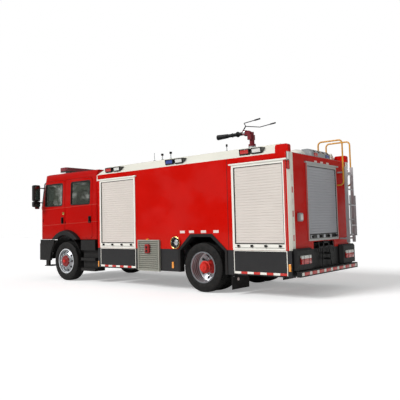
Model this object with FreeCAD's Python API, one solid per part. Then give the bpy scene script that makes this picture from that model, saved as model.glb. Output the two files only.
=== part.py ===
import FreeCAD, Part
import math
import os
from FreeCAD import Vector

# Fire engine with a crew cab, a locker body and a roof water monitor.
# Millimetres. +X runs to the rear, +Y to the vehicle's right, +Z up.
# The origin is on the ground, at the middle of the length and of the width.

# Overall layout
overall_length = 8100.0
front_overhang = 1300.0
wheelbase = 4500.0
half_width = 1250.0
front_axle_x = front_overhang - overall_length / 2
rear_axle_x = front_axle_x + wheelbase

# Fits and overruns
seat_gap = 0.3
join_tolerance = 0.01
panel_gap = 6.0
overrun = 20.0

# Tyres, rims and hubs
tyre_radius = 490.0
tyre_width = 276.0
tyre_shoulder = 42.0
rim_radius = 297.0
rim_lip = 12.0
rim_wall = 9.0
front_tyre_face_y = 1190.0
rear_tyre_face_y = 1212.0
twin_gap = 52.0
hub_radius = 142.0
hub_nose_radius = 62.0
axle_radius = 40.0
hand_hole_radius = 27.0
hand_hole_count = 10
nut_radius = 15.0
nut_height = 22.0
nut_count = 10
disc_bulge = 58.0
disc_wall = 14.0

# Chassis frame
rail_outer_y = 430.0
rail_flange = 75.0
rail_wall = 9.0
rail_height = 250.0
rail_top_z = 968.0
rail_front_x = front_axle_x - 1060.0
cross_member_height = 170.0
cross_member_width = 90.0
cross_member_shares = (0.015, 0.30, 0.38, 0.56, 0.78, 0.985)

# Axles, springs and steering
king_pin_y = 815.0
king_pin_radius = 24.0
axle_beam_width = 100.0
axle_beam_height = 110.0
axle_beam_drop = 95.0
knuckle_fork_gap = 150.0
knuckle_size = 110.0
spring_y = 385.0
spring_width = 75.0
front_spring_length = 1300.0
rear_spring_length = 1400.0
spring_camber = 95.0
spring_thickness = 50.0
rear_housing_radius = 72.0
diff_radius = 205.0
diff_width = 230.0
brake_drum_radius = 205.0
brake_drum_width = 120.0

# Engine, gearbox and propeller shaft
engine_length = 1150.0
engine_width = 700.0
engine_height = 480.0
engine_front_x = front_axle_x - 760.0
engine_top_z = 1005.0
gearbox_length = 620.0
gearbox_width = 380.0
gearbox_height = 360.0
propshaft_radius = 55.0

# Fuel tank, silencer and air bottles
tank_length = 850.0
tank_depth = 430.0
tank_height = 430.0
tank_corner = 70.0
tank_start = 2750.0
tank_hanger = 60.0
tank_bracket_shares = (0.15, 0.75)
air_bottle_start = 1500.0
air_bottle_radius = 120.0
air_bottle_length = 700.0
air_bottle_z = 785.0

# Cab
cab_half_width = half_width - 100.0
cab_front_x = front_axle_x - 1268.0
cab_rear_x = front_axle_x + 1205.0
cab_floor_z = 1035.0
cab_roof_z = 2762.0
cab_roof_rear_z = 2728.0
cab_belt_z = 1850.0
cab_wall = 58.0
floor_skin_share = 0.4
cab_corner = 230.0
cab_rear_corner = 45.0
cab_roof_edge = 130.0
cab_roof_lean = 35.0
windscreen_lean = 190.0
brow_radius = 260.0
cab_pivot_x = front_axle_x - 1170.0
cab_pivot_z = 930.0
cab_pivot_radius = 30.0
cab_pivot_y = 285.0
cab_pivot_width = 60.0
cab_pad = 110.0
front_floor_top_z = 1370.0
step_well_z = 1110.0
step_well_x = front_axle_x + 720.0
glass_inset = 16.0
glass_thickness = 6.0
windscreen_low_z = 1830.0
windscreen_high_z = 2560.0
windscreen_half_width = 1040.0
window_corner = 45.0

# Doors
front_door_start = -1040.0
front_door_end = -96.0
rear_door_end = 1020.0
door_pillar = 34.0
door_swing_gap = 11.0
door_low_z = 1062.0
door_high_z = 2565.0
door_corner = 60.0
front_window_start = -960.0
front_window_end = -200.0
rear_window_start = 165.0
rear_window_end = 925.0
window_low_z = 1905.0
window_high_z = 2478.0
hinge_radius = 11.0
hinge_length = 70.0
hinge_lug = 25.0
hinge_notch = 15.0
hinge_place_shares = (0.18, 0.48)
handle_height = 130.0
handle_width = 62.0
handle_depth = 34.0
handle_z = 1520.0

# Front wheel arch on the cab
arch_inner_radius = 655.0
arch_outer_radius = 785.0
arch_flare_y = half_width - 2.0
arch_depth_y = 760.0
guard_outer_radius = 636.0
guard_thickness = 12.0

# Bumper and steps
bumper_front_x = -overall_length / 2
bumper_top_z = 925.0
bumper_bottom_z = 490.0
bumper_end_x = front_axle_x - 470.0
bumper_half_width = 1205.0
bumper_corner = 250.0
bumper_wall = 60.0
headlamp_width = 320.0
headlamp_height = 170.0
headlamp_y = 900.0
headlamp_z = 690.0
lamp_proud = 8.0
step_front = 640.0
step_end = 1185.0
step_top_z = 1020.0
step_bottom_z = 275.0
step_outer_y = 1200.0
step_depth = 300.0
step_tread = 45.0
bumper_step_length = 265.0

# Locker body
body_front_x = front_axle_x + 1360.0
body_length = 5150.0
body_rear_x = body_front_x + body_length
body_floor_z = 842.0
body_roof_z = 2560.0
body_wall = 40.0
deck_floor = 30.0
partition_shares = (0.265, 0.745)
shutter_front_start = 91.0
shutter_width = 1205.0
shutter_rear_start = body_length - 1219.0
rear_side_width = 1142.0
frame_top_z = 2424.0
frame_bottom_z = 846.0
frame_band = 46.0
frame_proud = 14.0
drip_rail_reach = 45.0
drip_rail_height = 26.0
drip_rail_proud = 36.0
slat_pitch = 48.0
slat_groove = 7.0
slat_thickness = 22.0
lift_bar_height = 62.0
lift_bracket_shares = (0.08, 0.36, 0.64, 0.92)
rear_shutter_half = 640.0
rear_frame_top_z = 2410.0
rear_frame_bottom_z = 985.0

# Dark lower panels and the fold-down step flaps
skirt_bottom_z = 384.0
skirt_thickness = 32.0
skirt_return = 360.0
skirt_strap = 60.0
sill_height = 20.0
flap_thickness = 30.0
flap_hinge_radius = 9.0
flap_hinge_length = 160.0
flap_lug = 24.0
flap_hinge_shares = (0.16, 0.84)

# Louvred guards and hose inlets on both sides
guard_start = 1395.0
guard_width = 645.0
guard_bottom_z = 372.0
guard_top_z = 1030.0
guard_proud = 46.0
guard_border = 26.0
louvre_count = 14
louvre_thickness = 7.0
inlet_offset = 2490.0
inlet_z = 975.0
inlet_radius = 124.0
inlet_bore_radius = 75.0
inlet_proud = 30.0

# Rear wheel arch trim, an open octagon
rear_arch_front = -590.0
rear_arch_end = 651.0
rear_arch_low_z = 835.0
rear_arch_top_z = 1147.0
rear_arch_cut_front = 333.0
rear_arch_cut_end = 361.0
arch_band = 55.0
arch_proud = 14.0
well_inner_y = 540.0
well_wall = 20.0
mudflap_offset = 700.0
mudflap_thickness = 14.0
mudflap_width = 600.0
mudflap_bottom_z = 100.0
mudflap_stay = 24.0

# Roof: fairing, lamps, manholes and water monitor
fairing_top_z = 2752.0
fairing_lean = 200.0
fairing_wall = 40.0
fairing_front_lean = 180.0
apron_depth = 140.0
apron_thickness = 24.0
side_lamp_width = 225.0
side_lamp_height = 108.0
side_lamp_depth = 90.0
side_lamp_z = 2600.0
side_lamp_shares = (0.0528, 0.1087, 0.4291, 0.4806, 0.7984, 0.8495)
lamp_wall = 10.0
manhole_places = (2950.0, 3620.0)
manhole_half = 230.0
manhole_wall = 18.0
manhole_height = 70.0
lid_thickness = 22.0
lid_overlap = 26.0
lid_hinge_shares = (-0.6, 0.6)
monitor_offset = 4950.0
monitor_foot_radius = 120.0
monitor_flange = 22.0
monitor_pipe_radius = 52.0
monitor_swivel_z = 2960.0
monitor_elbow_z = 3262.0
monitor_elbow_bend = 110.0
monitor_joint_offset = 150.0
monitor_tip_offset = 905.0
monitor_barrel_radius = 38.0
monitor_nozzle_radius = 58.0
monitor_nozzle_length = 260.0
monitor_bore_radius = 25.0
monitor_bore_length = 200.0
monitor_cheek = 16.0
handle_rod_radius = 9.0
handle_rise = 150.0
handle_foot = 120.0
handle_spread = 300.0
handle_reach = 560.0
grip_radius = 15.0
grip_length = 130.0

# Beacon bar on the cab roof
beacon_half = 720.0
beacon_depth = 300.0
beacon_low_z = 2842.0
beacon_height = 130.0
beacon_offset = -760.0
beacon_corner = 60.0
beacon_foot_width = 60.0
beacon_foot_y = 520.0

# Grille on the cab's face
grille_half = 700.0
grille_low_z = 1120.0
grille_high_z = 1640.0
grille_proud = 14.0
grille_bar_count = 6

# Mirrors
mirror_offset = -1090.0
mirror_y = 1340.0
mirror_width = 190.0
mirror_height = 430.0
mirror_depth = 95.0
mirror_z = 2270.0
kerb_mirror_height = 150.0
kerb_mirror_z = 1900.0
mirror_arm_radius = 14.0

# Rear end
post_depth = 72.0
post_wall = 24.0
post_reach_y = 150.0
post_chamfer = 40.0
corner_box_length = 260.0
corner_box_width = 95.0
corner_box_top_z = 2705.0
tail_box_depth = 82.0
tail_box_inner_y = 600.0
tail_box_outer_y = 1205.0
tail_box_top_z = 872.0
tail_box_bottom_z = 505.0
tail_box_slope = 70.0
tail_lamp_inner_y = 735.0
tail_lamp_outer_y = 1100.0
tail_lamp_low_z = 602.0
tail_lamp_high_z = 752.0
rear_bar_depth = 100.0
rear_bar_low_z = 390.0
rear_bar_high_z = 490.0
rear_bar_half = 1200.0
rear_bar_plate = 24.0
tow_bore_radius = 24.0
tow_ear_height = 26.0
tow_jaw_gap = 78.0
tow_jaw_length = 150.0
tow_jaw_z = 690.0
tow_jaw_width = 130.0
ladder_y = 838.0
ladder_half = 148.0
ladder_rail_depth = 62.0
ladder_rail_width = 26.0
ladder_offset = 150.0
ladder_low_z = 912.0
ladder_high_z = 2420.0
rung_radius = 15.0
rung_pitch = 292.0
fold_low_z = 1052.0
fold_high_z = 1842.0
fold_gap = 12.0
fold_pin_radius = 12.0
rail_radius = 16.0
rail_top_high_z = 2965.0
rail_foot_low_z = 2055.0
rail_forward = 520.0
rail_bend = 75.0
rail_stand_off = 145.0
rail_inner_y = 662.0
rail_outer_end_y = 1030.0
lamp_bar_half = 405.0
lamp_bar_high_z = 2700.0
lamp_bar_depth = 190.0

# Seats and dashboard
seat_width = 480.0
seat_depth = 470.0
seat_height = 130.0
seat_back_height = 640.0
seat_back_thickness = 120.0
seat_lean = 90.0
front_seat_x = front_axle_x - 560.0
seat_base_height = 180.0
dash_depth = 330.0
dash_height = 320.0
dash_top_z = 1840.0
steering_wheel_radius = 225.0
steering_rim_radius = 17.0
steering_y = -520.0
steering_tilt = 55.0


def box(x0, x1, y0, y1, z0, z1):
    return Part.makeBox(x1 - x0, y1 - y0, z1 - z0, Vector(x0, y0, z0))


def rod(radius, start, end):
    run = end - start
    return Part.makeCylinder(radius, run.Length, start, run)


def on_side(y):
    return lambda u, v: Vector(u, y, v)


def on_floor(z):
    return lambda u, v: Vector(u, v, z)


def on_front(x):
    return lambda u, v: Vector(x, u, v)


def outline(corners, place):
    """Closed wire through corners (u, v, radius), each rounded by a tangent arc."""
    edges = []
    ends = []
    count = len(corners)
    for i in range(count):
        u, v, radius = corners[i]
        here = place(u, v)
        before = place(*corners[i - 1][:2])
        after = place(*corners[(i + 1) % count][:2])
        back = (before - here).normalize()
        ahead = (after - here).normalize()
        if radius == 0:
            ends.append((here, here, None))
            continue
        half = back.getAngle(ahead) / 2
        reach = radius / math.tan(half)
        middle = (back + ahead).normalize()
        crest = here + middle * (radius / math.sin(half) - radius)
        ends.append((here + back * reach, here + ahead * reach, crest))
    for i in range(count):
        start, stop, crest = ends[i]
        if crest is not None:
            edges.append(Part.Arc(start, crest, stop).toShape())
        following = ends[(i + 1) % count][0]
        if (following - stop).Length > seat_gap / overall_length:
            edges.append(Part.LineSegment(stop, following).toShape())
    return Part.Wire(edges)


def slab(corners, place, run):
    return Part.Face(outline(corners, place)).extrude(run)


def plain(points):
    return [(u, v, 0) for u, v in points]


def ring(outer, inner, y0, y1, x, z):
    run = Vector(0, y1 - y0, 0)
    start = Vector(x, y0, z)
    solid = Part.makeCylinder(outer, run.Length, start, run)
    return solid.cut(Part.makeCylinder(inner, run.Length, start, run))


def turned(profile, x, y, z, side):
    """Solid of revolution about the wheel's axis from (distance outwards, radius) points."""
    place = lambda u, v: Vector(x, y + side * u, z + v)
    wire = outline(profile, place)
    return Part.Face(wire).revolve(Vector(x, y, z), Vector(0, 1, 0), 360)


def mirrored(shape):
    return shape.mirror(Vector(0, 0, 0), Vector(0, 1, 0))


def both(shape):
    return [shape, mirrored(shape)]


def fused(shapes):
    whole = shapes[0].multiFuse(shapes[1:]) if len(shapes) > 1 else shapes[0]
    return whole.removeSplitter()


def export(name, shape):
    shape.exportStep("parts/" + name + ".step")


def each_solid(shapes):
    solids = []
    for shape in shapes:
        solids += shape.Solids
    return Part.makeCompound(solids)


# Wheels: section of a tyre from bead to tread, u outwards from the middle plane
def tyre(x, y):
    half = tyre_width / 2
    bead = rim_radius + rim_lip
    crown = tyre_radius - tyre_shoulder
    profile = [
        (-half * 0.78, rim_radius, 0),
        (-half * 0.86, bead, 0),
        (-half, (bead + crown) / 2, tyre_shoulder),
        (-half * 0.86, tyre_radius - tyre_shoulder / 4, tyre_shoulder / 2),
        (0, tyre_radius, 0),
        (half * 0.86, tyre_radius - tyre_shoulder / 4, tyre_shoulder / 2),
        (half, (bead + crown) / 2, tyre_shoulder),
        (half * 0.86, bead, 0),
        (half * 0.78, rim_radius, 0),
    ]
    return turned(profile, x, y, tyre_radius, 1)


def barrel(x, y):
    """Rim barrel with a flange beside each bead."""
    half = tyre_width / 2
    foot = half * 0.78 + 2 * seat_gap
    lip = half * 0.86 + 3 * seat_gap
    seat = rim_radius - seat_gap
    profile = [
        (-foot, seat, 0),
        (-lip, rim_radius + rim_lip, 0),
        (-lip - rim_wall, rim_radius + rim_lip, 0),
        (-lip - rim_wall, seat - rim_wall, 0),
        (lip + rim_wall, seat - rim_wall, 0),
        (lip + rim_wall, rim_radius + rim_lip, 0),
        (lip, rim_radius + rim_lip, 0),
        (foot, seat, 0),
    ]
    return turned(profile, x, y, tyre_radius, 1)


def around(count, radius, x, y, make):
    pieces = []
    for i in range(count):
        angle = 2 * math.pi * i / count
        place = Vector(x + radius * math.cos(angle), y, tyre_radius + radius * math.sin(angle))
        pieces.append(make(place))
    return pieces


nut_circle = (hub_radius + nut_radius * 2.4)
hand_hole_circle = (nut_circle + rim_radius) / 2 - rim_wall / 2
hub_bore = axle_radius + seat_gap


def wheel_disc(x, y, side, edge_u, crest_u, inner_u, nose_u):
    """Pressed disc from the barrel to the hub, with the hub's blind bore on its inner side."""
    rim_r = rim_radius - rim_wall
    flat_r = nut_circle + nut_radius * 1.5
    profile = [
        (edge_u, rim_r, 0),
        (crest_u, flat_r, 0),
        (crest_u, hub_radius, 0),
        (inner_u, hub_radius, 0),
        (inner_u, hub_bore, 0),
        (crest_u + disc_wall, hub_bore, 0),
        (crest_u + disc_wall, 0, 0),
        (nose_u, 0, 0),
        (nose_u, hub_nose_radius, 0),
        (nose_u - disc_wall, hub_nose_radius + disc_wall, 0),
        (crest_u + disc_wall * 3, hub_radius - disc_wall, 0),
        (crest_u + disc_wall, hub_radius, 0),
        (crest_u + disc_wall, flat_r, 0),
        (edge_u + disc_wall, rim_r, 0),
    ]
    disc = turned(profile, x, y, tyre_radius, side)
    low = min(edge_u, crest_u) - disc_wall
    reach = abs(crest_u - edge_u) + disc_wall * 3
    start = y + side * low
    drill = lambda c: Part.makeCylinder(hand_hole_radius, reach, c, Vector(0, side, 0))
    disc = disc.cut(around(hand_hole_count, hand_hole_circle, x, start, drill))
    seat = y + side * (crest_u + disc_wall / 2)
    height = nut_height + disc_wall / 2
    nut = lambda c: Part.makeCylinder(nut_radius, height, c, Vector(0, side, 0))
    return disc, around(nut_count, nut_circle, x, seat, nut)


front_wheel_y = front_tyre_face_y - tyre_width / 2
rear_outer_y = rear_tyre_face_y - tyre_width / 2
rear_inner_y = rear_outer_y - tyre_width - twin_gap
rear_middle_y = (rear_outer_y + rear_inner_y) / 2


def front_rim(side):
    y = side * front_wheel_y
    edge_u = tyre_width * 0.22
    crest_u = edge_u + disc_bulge
    inner_u = -tyre_width * 0.36
    disc, nuts = wheel_disc(front_axle_x, y, side, edge_u, crest_u, inner_u, crest_u + disc_bulge)
    return fused([barrel(front_axle_x, y), disc] + nuts)


def rear_rims(side):
    outer = barrel(rear_axle_x, side * rear_outer_y)
    inner = barrel(rear_axle_x, side * rear_inner_y)
    y = side * rear_middle_y
    edge_u = twin_gap
    crest_u = edge_u - disc_bulge
    inner_u = -tyre_width * 0.42
    nose_u = rear_outer_y - rear_middle_y + tyre_width * 0.44
    disc, nuts = wheel_disc(rear_axle_x, y, side, edge_u, crest_u, inner_u, nose_u)
    seat_r = rim_radius - rim_wall
    web = Part.makeCylinder(seat_r, disc_wall, Vector(rear_axle_x, y - side * edge_u, tyre_radius), Vector(0, side, 0))
    bore = Part.makeCylinder(hub_radius - disc_wall, disc_wall, Vector(rear_axle_x, y - side * edge_u, tyre_radius), Vector(0, side, 0))
    return fused([outer, inner, disc, web.cut(bore)] + nuts)


def rear_tyres(side):
    return each_solid([tyre(rear_axle_x, side * rear_outer_y), tyre(rear_axle_x, side * rear_inner_y)])


# Chassis frame: two channels and their cross-members
rail_end_x = body_rear_x - rail_flange
rail_bottom_z = rail_top_z - rail_height


def chassis_frame():
    channel = box(rail_front_x, rail_end_x, -rail_outer_y, -rail_outer_y + rail_flange, rail_bottom_z, rail_top_z)
    hollow = box(
        rail_front_x - overrun,
        rail_end_x + overrun,
        -rail_outer_y + rail_wall,
        -rail_outer_y + rail_flange + overrun,
        rail_bottom_z + rail_wall,
        rail_top_z - rail_wall,
    )
    rail = channel.cut(hollow)
    pieces = both(rail)
    inner = rail_outer_y - rail_wall / 2
    middle = (rail_top_z + rail_bottom_z) / 2
    for share in cross_member_shares:
        x = rail_front_x + share * (rail_end_x - rail_front_x)
        low = middle - cross_member_height / 2
        member = box(x - cross_member_width / 2, x + cross_member_width / 2, -inner, inner, low, low + cross_member_height)
        core = box(
            x - cross_member_width / 2 + rail_wall,
            x + cross_member_width,
            -inner - overrun,
            inner + overrun,
            low + rail_wall,
            low + cross_member_height - rail_wall,
        )
        pieces.append(member.cut(core))
    reach = rail_outer_y - rail_flange / 2
    pivot = rod(cab_pivot_radius, Vector(cab_pivot_x, -reach, cab_pivot_z), Vector(cab_pivot_x, reach, cab_pivot_z))
    pieces.append(pivot)
    for side in (-1, 1):
        y0 = side * reach - rail_flange / 2
        y1 = side * reach + rail_flange / 2
        low = rail_bottom_z + rail_wall
        high = cab_pivot_z + cab_pivot_radius
        pieces.append(box(cab_pivot_x - cab_pivot_radius, rail_front_x + overrun, y0, y1, low, high))
    for side in (-1, 1):
        y = side * rail_outer_y
        post = box(cab_rear_x - cab_pad, cab_rear_x - cab_pad / 2, min(y, y + side * rail_flange), max(y, y + side * rail_flange), rail_top_z - rail_height / 2, cab_floor_z - seat_gap)
        pieces.append(post)
    return fused(pieces)


def tanks_and_bottles():
    pieces = []
    start = front_axle_x + tank_start
    outer = rail_outer_y + tank_depth
    top = rail_top_z - tank_hanger
    low = top - tank_height
    for side in (-1, 1):
        corners = [
            (side * (rail_outer_y + tank_hanger), low, tank_corner),
            (side * (rail_outer_y + tank_hanger), top, tank_corner),
            (side * (outer + tank_hanger), top, tank_corner),
            (side * (outer + tank_hanger), low, tank_corner),
        ]
        tank = slab(corners, on_front(start), Vector(tank_length, 0, 0))
        near = side * rail_outer_y
        far = side * (rail_outer_y + tank_hanger * 2)
        for share in tank_bracket_shares:
            x = start + share * tank_length
            bracket = box(x, x + tank_hanger, min(near, far), max(near, far), low + tank_corner, top - tank_corner)
            tank = tank.fuse(bracket)
        pieces.append(tank.removeSplitter())
    for side in (-1, 1):
        y = side * (rail_outer_y + air_bottle_radius)
        x = front_axle_x + air_bottle_start
        z = air_bottle_z
        bottle = rod(air_bottle_radius, Vector(x, y, z), Vector(x + air_bottle_length, y, z))
        pieces.append(bottle)
    return each_solid(pieces)


def spring_pack(x, y, low_z, length, camber):
    """Leaf pack: an arc slab hung from the frame at its two ends."""
    high = low_z + spring_thickness
    start = x - length / 2
    stop = x + length / 2
    lower = Part.Arc(Vector(start, y, low_z + camber), Vector(x, y, low_z), Vector(stop, y, low_z + camber)).toShape()
    upper = Part.Arc(Vector(stop, y, high + camber), Vector(x, y, high), Vector(start, y, high + camber)).toShape()
    front = Part.LineSegment(Vector(start, y, high + camber), Vector(start, y, low_z + camber)).toShape()
    rear = Part.LineSegment(Vector(stop, y, low_z + camber), Vector(stop, y, high + camber)).toShape()
    leaf = Part.Face(Part.Wire([lower, rear, upper, front])).extrude(Vector(0, spring_width, 0))
    pieces = [leaf]
    for edge in (start, stop - spring_thickness):
        pieces.append(box(edge, edge + spring_thickness, y, y + spring_width, low_z + camber, rail_bottom_z))
    return pieces


def front_axle():
    top = axle_beam_height / 2
    ends = king_pin_y
    knee = spring_y + spring_width * 1.6
    dip = spring_y + spring_width
    z = tyre_radius
    drop = axle_beam_drop
    corners = plain([
        (-ends, z + top), (-knee, z + top), (-dip, z + top - drop), (dip, z + top - drop),
        (knee, z + top), (ends, z + top), (ends, z - top), (knee, z - top),
        (dip, z - top - drop), (-dip, z - top - drop), (-knee, z - top), (-ends, z - top),
    ])
    beam = slab(corners, on_front(front_axle_x - axle_beam_width / 2), Vector(axle_beam_width, 0, 0))
    pieces = [beam]
    for side in (-1, 1):
        foot = Vector(front_axle_x, side * ends, z - knuckle_fork_gap / 2)
        pieces.append(Part.makeCylinder(knuckle_size / 2, knuckle_fork_gap, foot))
    for y in (spring_y, -spring_y - spring_width):
        pieces += spring_pack(front_axle_x, y, z + top - drop, front_spring_length, spring_camber)
    axle = fused(pieces)
    for side in (-1, 1):
        foot = Vector(front_axle_x, side * ends, z - knuckle_fork_gap)
        axle = axle.cut(Part.makeCylinder(king_pin_radius + seat_gap / 3, knuckle_fork_gap * 2, foot))
    return axle


def knuckle(side):
    """Fork round the axle's end, its king pin, stub axle and brake drum."""
    z = tyre_radius
    y = side * king_pin_y
    half = knuckle_fork_gap / 2 + seat_gap
    ear = knuckle_size / 4
    out = lambda a, b: (min(y + side * a, y + side * b), max(y + side * a, y + side * b))
    near = knuckle_size / 2 + seat_gap * 4
    web = ear
    pieces = [rod(king_pin_radius, Vector(front_axle_x, y, z - half - ear), Vector(front_axle_x, y, z + half + ear))]
    for low in (z - half - ear, z + half):
        pieces.append(Part.makeCylinder(knuckle_size / 2, ear, Vector(front_axle_x, y, low)))
        y0, y1 = out(0, near + web)
        pieces.append(box(front_axle_x - knuckle_size / 2, front_axle_x + knuckle_size / 2, y0, y1, low, low + ear))
    y0, y1 = out(near, near + web)
    pieces.append(box(front_axle_x - knuckle_size / 2, front_axle_x + knuckle_size / 2, y0, y1, z - half - ear, z + half + ear))
    root = Vector(front_axle_x, y + side * near, z)
    inner_end = front_wheel_y - tyre_width * 0.36
    tip = Vector(front_axle_x, side * (front_wheel_y + tyre_width * 0.22 + disc_bulge), z)
    pieces.append(rod(axle_radius, root, tip))
    drum = rod(brake_drum_radius, Vector(front_axle_x, y + side * (near + web / 2), z), Vector(front_axle_x, side * (inner_end - panel_gap), z))
    return fused(pieces + [drum])


def rear_axle():
    z = tyre_radius
    inner_end = rear_middle_y - tyre_width * 0.42 - panel_gap
    pieces = [rod(rear_housing_radius, Vector(rear_axle_x, -inner_end, z), Vector(rear_axle_x, inner_end, z))]
    for side in (-1, 1):
        tip = rear_middle_y + twin_gap - disc_bulge + disc_wall - seat_gap
        pieces.append(rod(axle_radius, Vector(rear_axle_x, side * (inner_end - overrun), z), Vector(rear_axle_x, side * tip, z)))
        drum = rod(brake_drum_radius, Vector(rear_axle_x, side * (inner_end - brake_drum_width), z), Vector(rear_axle_x, side * inner_end, z))
        pieces.append(drum)
    ball = Part.makeSphere(diff_radius, Vector(rear_axle_x, 0, z))
    keep = box(rear_axle_x - diff_radius, rear_axle_x + diff_radius, -diff_width / 2, diff_width / 2, z - diff_radius, z + diff_radius)
    pieces.append(ball.common(keep))
    low = z + rear_housing_radius - overrun / 2
    for y in (spring_y, -spring_y - spring_width):
        pieces += spring_pack(rear_axle_x, y, low, rear_spring_length, spring_camber / 2)
    return fused(pieces)


def powertrain():
    low = engine_top_z - engine_height
    end = engine_front_x + engine_length
    block = box(engine_front_x, end, -engine_width / 2, engine_width / 2, low, engine_top_z)
    mount_z = (rail_top_z + rail_bottom_z) / 2
    inner = rail_outer_y - rail_wall
    mount = box(front_axle_x - rail_flange, front_axle_x + rail_flange, -inner, inner, mount_z - rail_flange / 2, mount_z + rail_flange / 2)
    box_low = rail_bottom_z - gearbox_height / 3
    gearbox = box(end - overrun, end + gearbox_length, -gearbox_width / 2, gearbox_width / 2, box_low, box_low + gearbox_height)
    start = Vector(end + gearbox_length - overrun, 0, rail_bottom_z - propshaft_radius)
    stop = Vector(rear_axle_x - diff_radius - seat_gap, 0, tyre_radius)
    shaft = rod(propshaft_radius, start, stop)
    flange = rod(propshaft_radius * 1.4, stop, stop - Vector(propshaft_radius, 0, 0))
    return fused([block, mount, gearbox, shaft, flange])


# Locker body
deck_top_z = rail_top_z + deck_floor
frame_inset = frame_band / 2
front_shutter_x = body_front_x + shutter_front_start
rear_shutter_x = body_front_x + shutter_rear_start
lockers = ((front_shutter_x, shutter_width), (rear_shutter_x, rear_side_width))
body_inner_y = half_width - body_wall


def arch_corners(inset, bottom):
    start = rear_axle_x + rear_arch_front + inset
    stop = rear_axle_x + rear_arch_end - inset
    top = rear_arch_top_z - inset
    shoulder = rear_arch_low_z - inset / 3
    cut_front = rear_arch_cut_front - inset / 3
    cut_end = rear_arch_cut_end - inset / 3
    return plain([
        (start, bottom), (start, shoulder), (start + cut_front, top),
        (stop - cut_end, top), (stop, shoulder), (stop, bottom),
    ])


def arch_prism(inset, bottom, y0, y1):
    return slab(arch_corners(inset, bottom), on_side(y0), Vector(0, y1 - y0, 0))


def body_shell():
    shell = box(body_front_x, body_rear_x, -half_width, half_width, body_floor_z, body_roof_z)
    room = box(body_front_x + body_wall, body_rear_x - body_wall, -body_inner_y, body_inner_y, deck_top_z, body_roof_z - body_wall)
    under = box(body_front_x + body_wall, body_rear_x - body_wall, -body_inner_y, body_inner_y, body_floor_z - overrun, rail_top_z)
    track = rail_outer_y + panel_gap
    rails = box(body_front_x - overrun, body_rear_x + overrun, -track, track, body_floor_z - overrun, rail_top_z)
    shell = shell.cut(room).cut(under).cut(rails)
    pieces = [shell]
    for share in partition_shares:
        x = body_front_x + share * body_length
        pieces.append(box(x, x + deck_floor, -body_inner_y, body_inner_y, deck_top_z, body_roof_z - body_wall))
    for side in (-1, 1):
        y0 = min(side * (well_inner_y - well_wall), side * (half_width - body_wall / 2))
        y1 = max(side * (well_inner_y - well_wall), side * (half_width - body_wall / 2))
        well = arch_prism(arch_band - well_wall, skirt_bottom_z, y0, y1)
        above = box(body_front_x, body_rear_x, y0, y1, rail_top_z, body_roof_z)
        pieces.append(well.common(above))
    shell = fused(pieces)
    cuts = []
    for side in (-1, 1):
        y0 = min(side * well_inner_y, side * (half_width + overrun))
        y1 = max(side * well_inner_y, side * (half_width + overrun))
        cuts.append(arch_prism(arch_band, skirt_bottom_z, y0, y1))
        for x, width in lockers:
            a = side * (body_inner_y - overrun)
            b = side * (half_width + overrun)
            low = frame_bottom_z + frame_inset - seat_gap
            high = frame_top_z - frame_inset + seat_gap
            start = x + frame_inset - seat_gap
            stop = x + width - frame_inset + seat_gap
            cuts.append(box(start, stop, min(a, b), max(a, b), low, high))
        start = Vector(body_front_x + inlet_offset, side * (half_width + overrun), inlet_z)
        cuts.append(Part.makeCylinder(inlet_bore_radius + rim_wall + seat_gap, body_wall + overrun, start, Vector(0, -side, 0)))
    half = rear_shutter_half - frame_inset + seat_gap
    cuts.append(box(body_rear_x - body_wall - overrun, body_rear_x + overrun, -half, half, rear_frame_bottom_z + frame_inset - seat_gap, rear_frame_top_z - frame_inset + seat_gap))
    for side in (-1, 1):
        a = side * (half_width - post_reach_y)
        b = side * (half_width + overrun)
        cuts.append(box(body_rear_x - post_depth, body_rear_x + overrun, min(a, b), max(a, b), body_floor_z - overrun, body_roof_z + overrun))
    for x in manhole_places:
        centre = front_axle_x + x
        cuts.append(box(centre - manhole_half, centre + manhole_half, -manhole_half, manhole_half, body_roof_z - body_wall - overrun, body_roof_z + overrun))
    shell = shell.cut(cuts)
    extras = []
    for side in (-1, 1):
        a = side * (half_width - post_reach_y - body_wall)
        b = side * (half_width - post_reach_y)
        inside = body_rear_x - post_depth - post_wall
        extras.append(box(inside, body_rear_x, min(a, b), max(a, b), deck_top_z, body_roof_z))
        a = side * (half_width - post_reach_y)
        b = side * half_width
        extras.append(box(inside, inside + post_wall, min(a, b), max(a, b), deck_top_z, body_roof_z))
        outer = side * half_width
        inner = side * (half_width - corner_box_width)
        start = body_rear_x - corner_box_length
        corners = [
            (start, body_roof_z, 0), (start, corner_box_top_z, body_wall),
            (body_rear_x, corner_box_top_z, body_wall), (body_rear_x, body_roof_z, 0),
        ]
        extras.append(slab(corners, on_side(min(outer, inner)), Vector(0, corner_box_width, 0)))
    return fused([shell] + extras)


def slats(width, low, high):
    """Roller shutter curtain facing -Y, with a groove between slats."""
    count = int((high - low) / slat_pitch)
    points = [(slat_thickness, low), (0, low)]
    for i in range(1, count):
        z = low + i * (high - low) / count
        points += [(0, z - slat_groove), (slat_groove, z), (0, z + slat_groove)]
    points += [(0, high), (slat_thickness, high)]
    return slab(plain(points), on_front(-width / 2), Vector(width, 0, 0))


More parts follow.
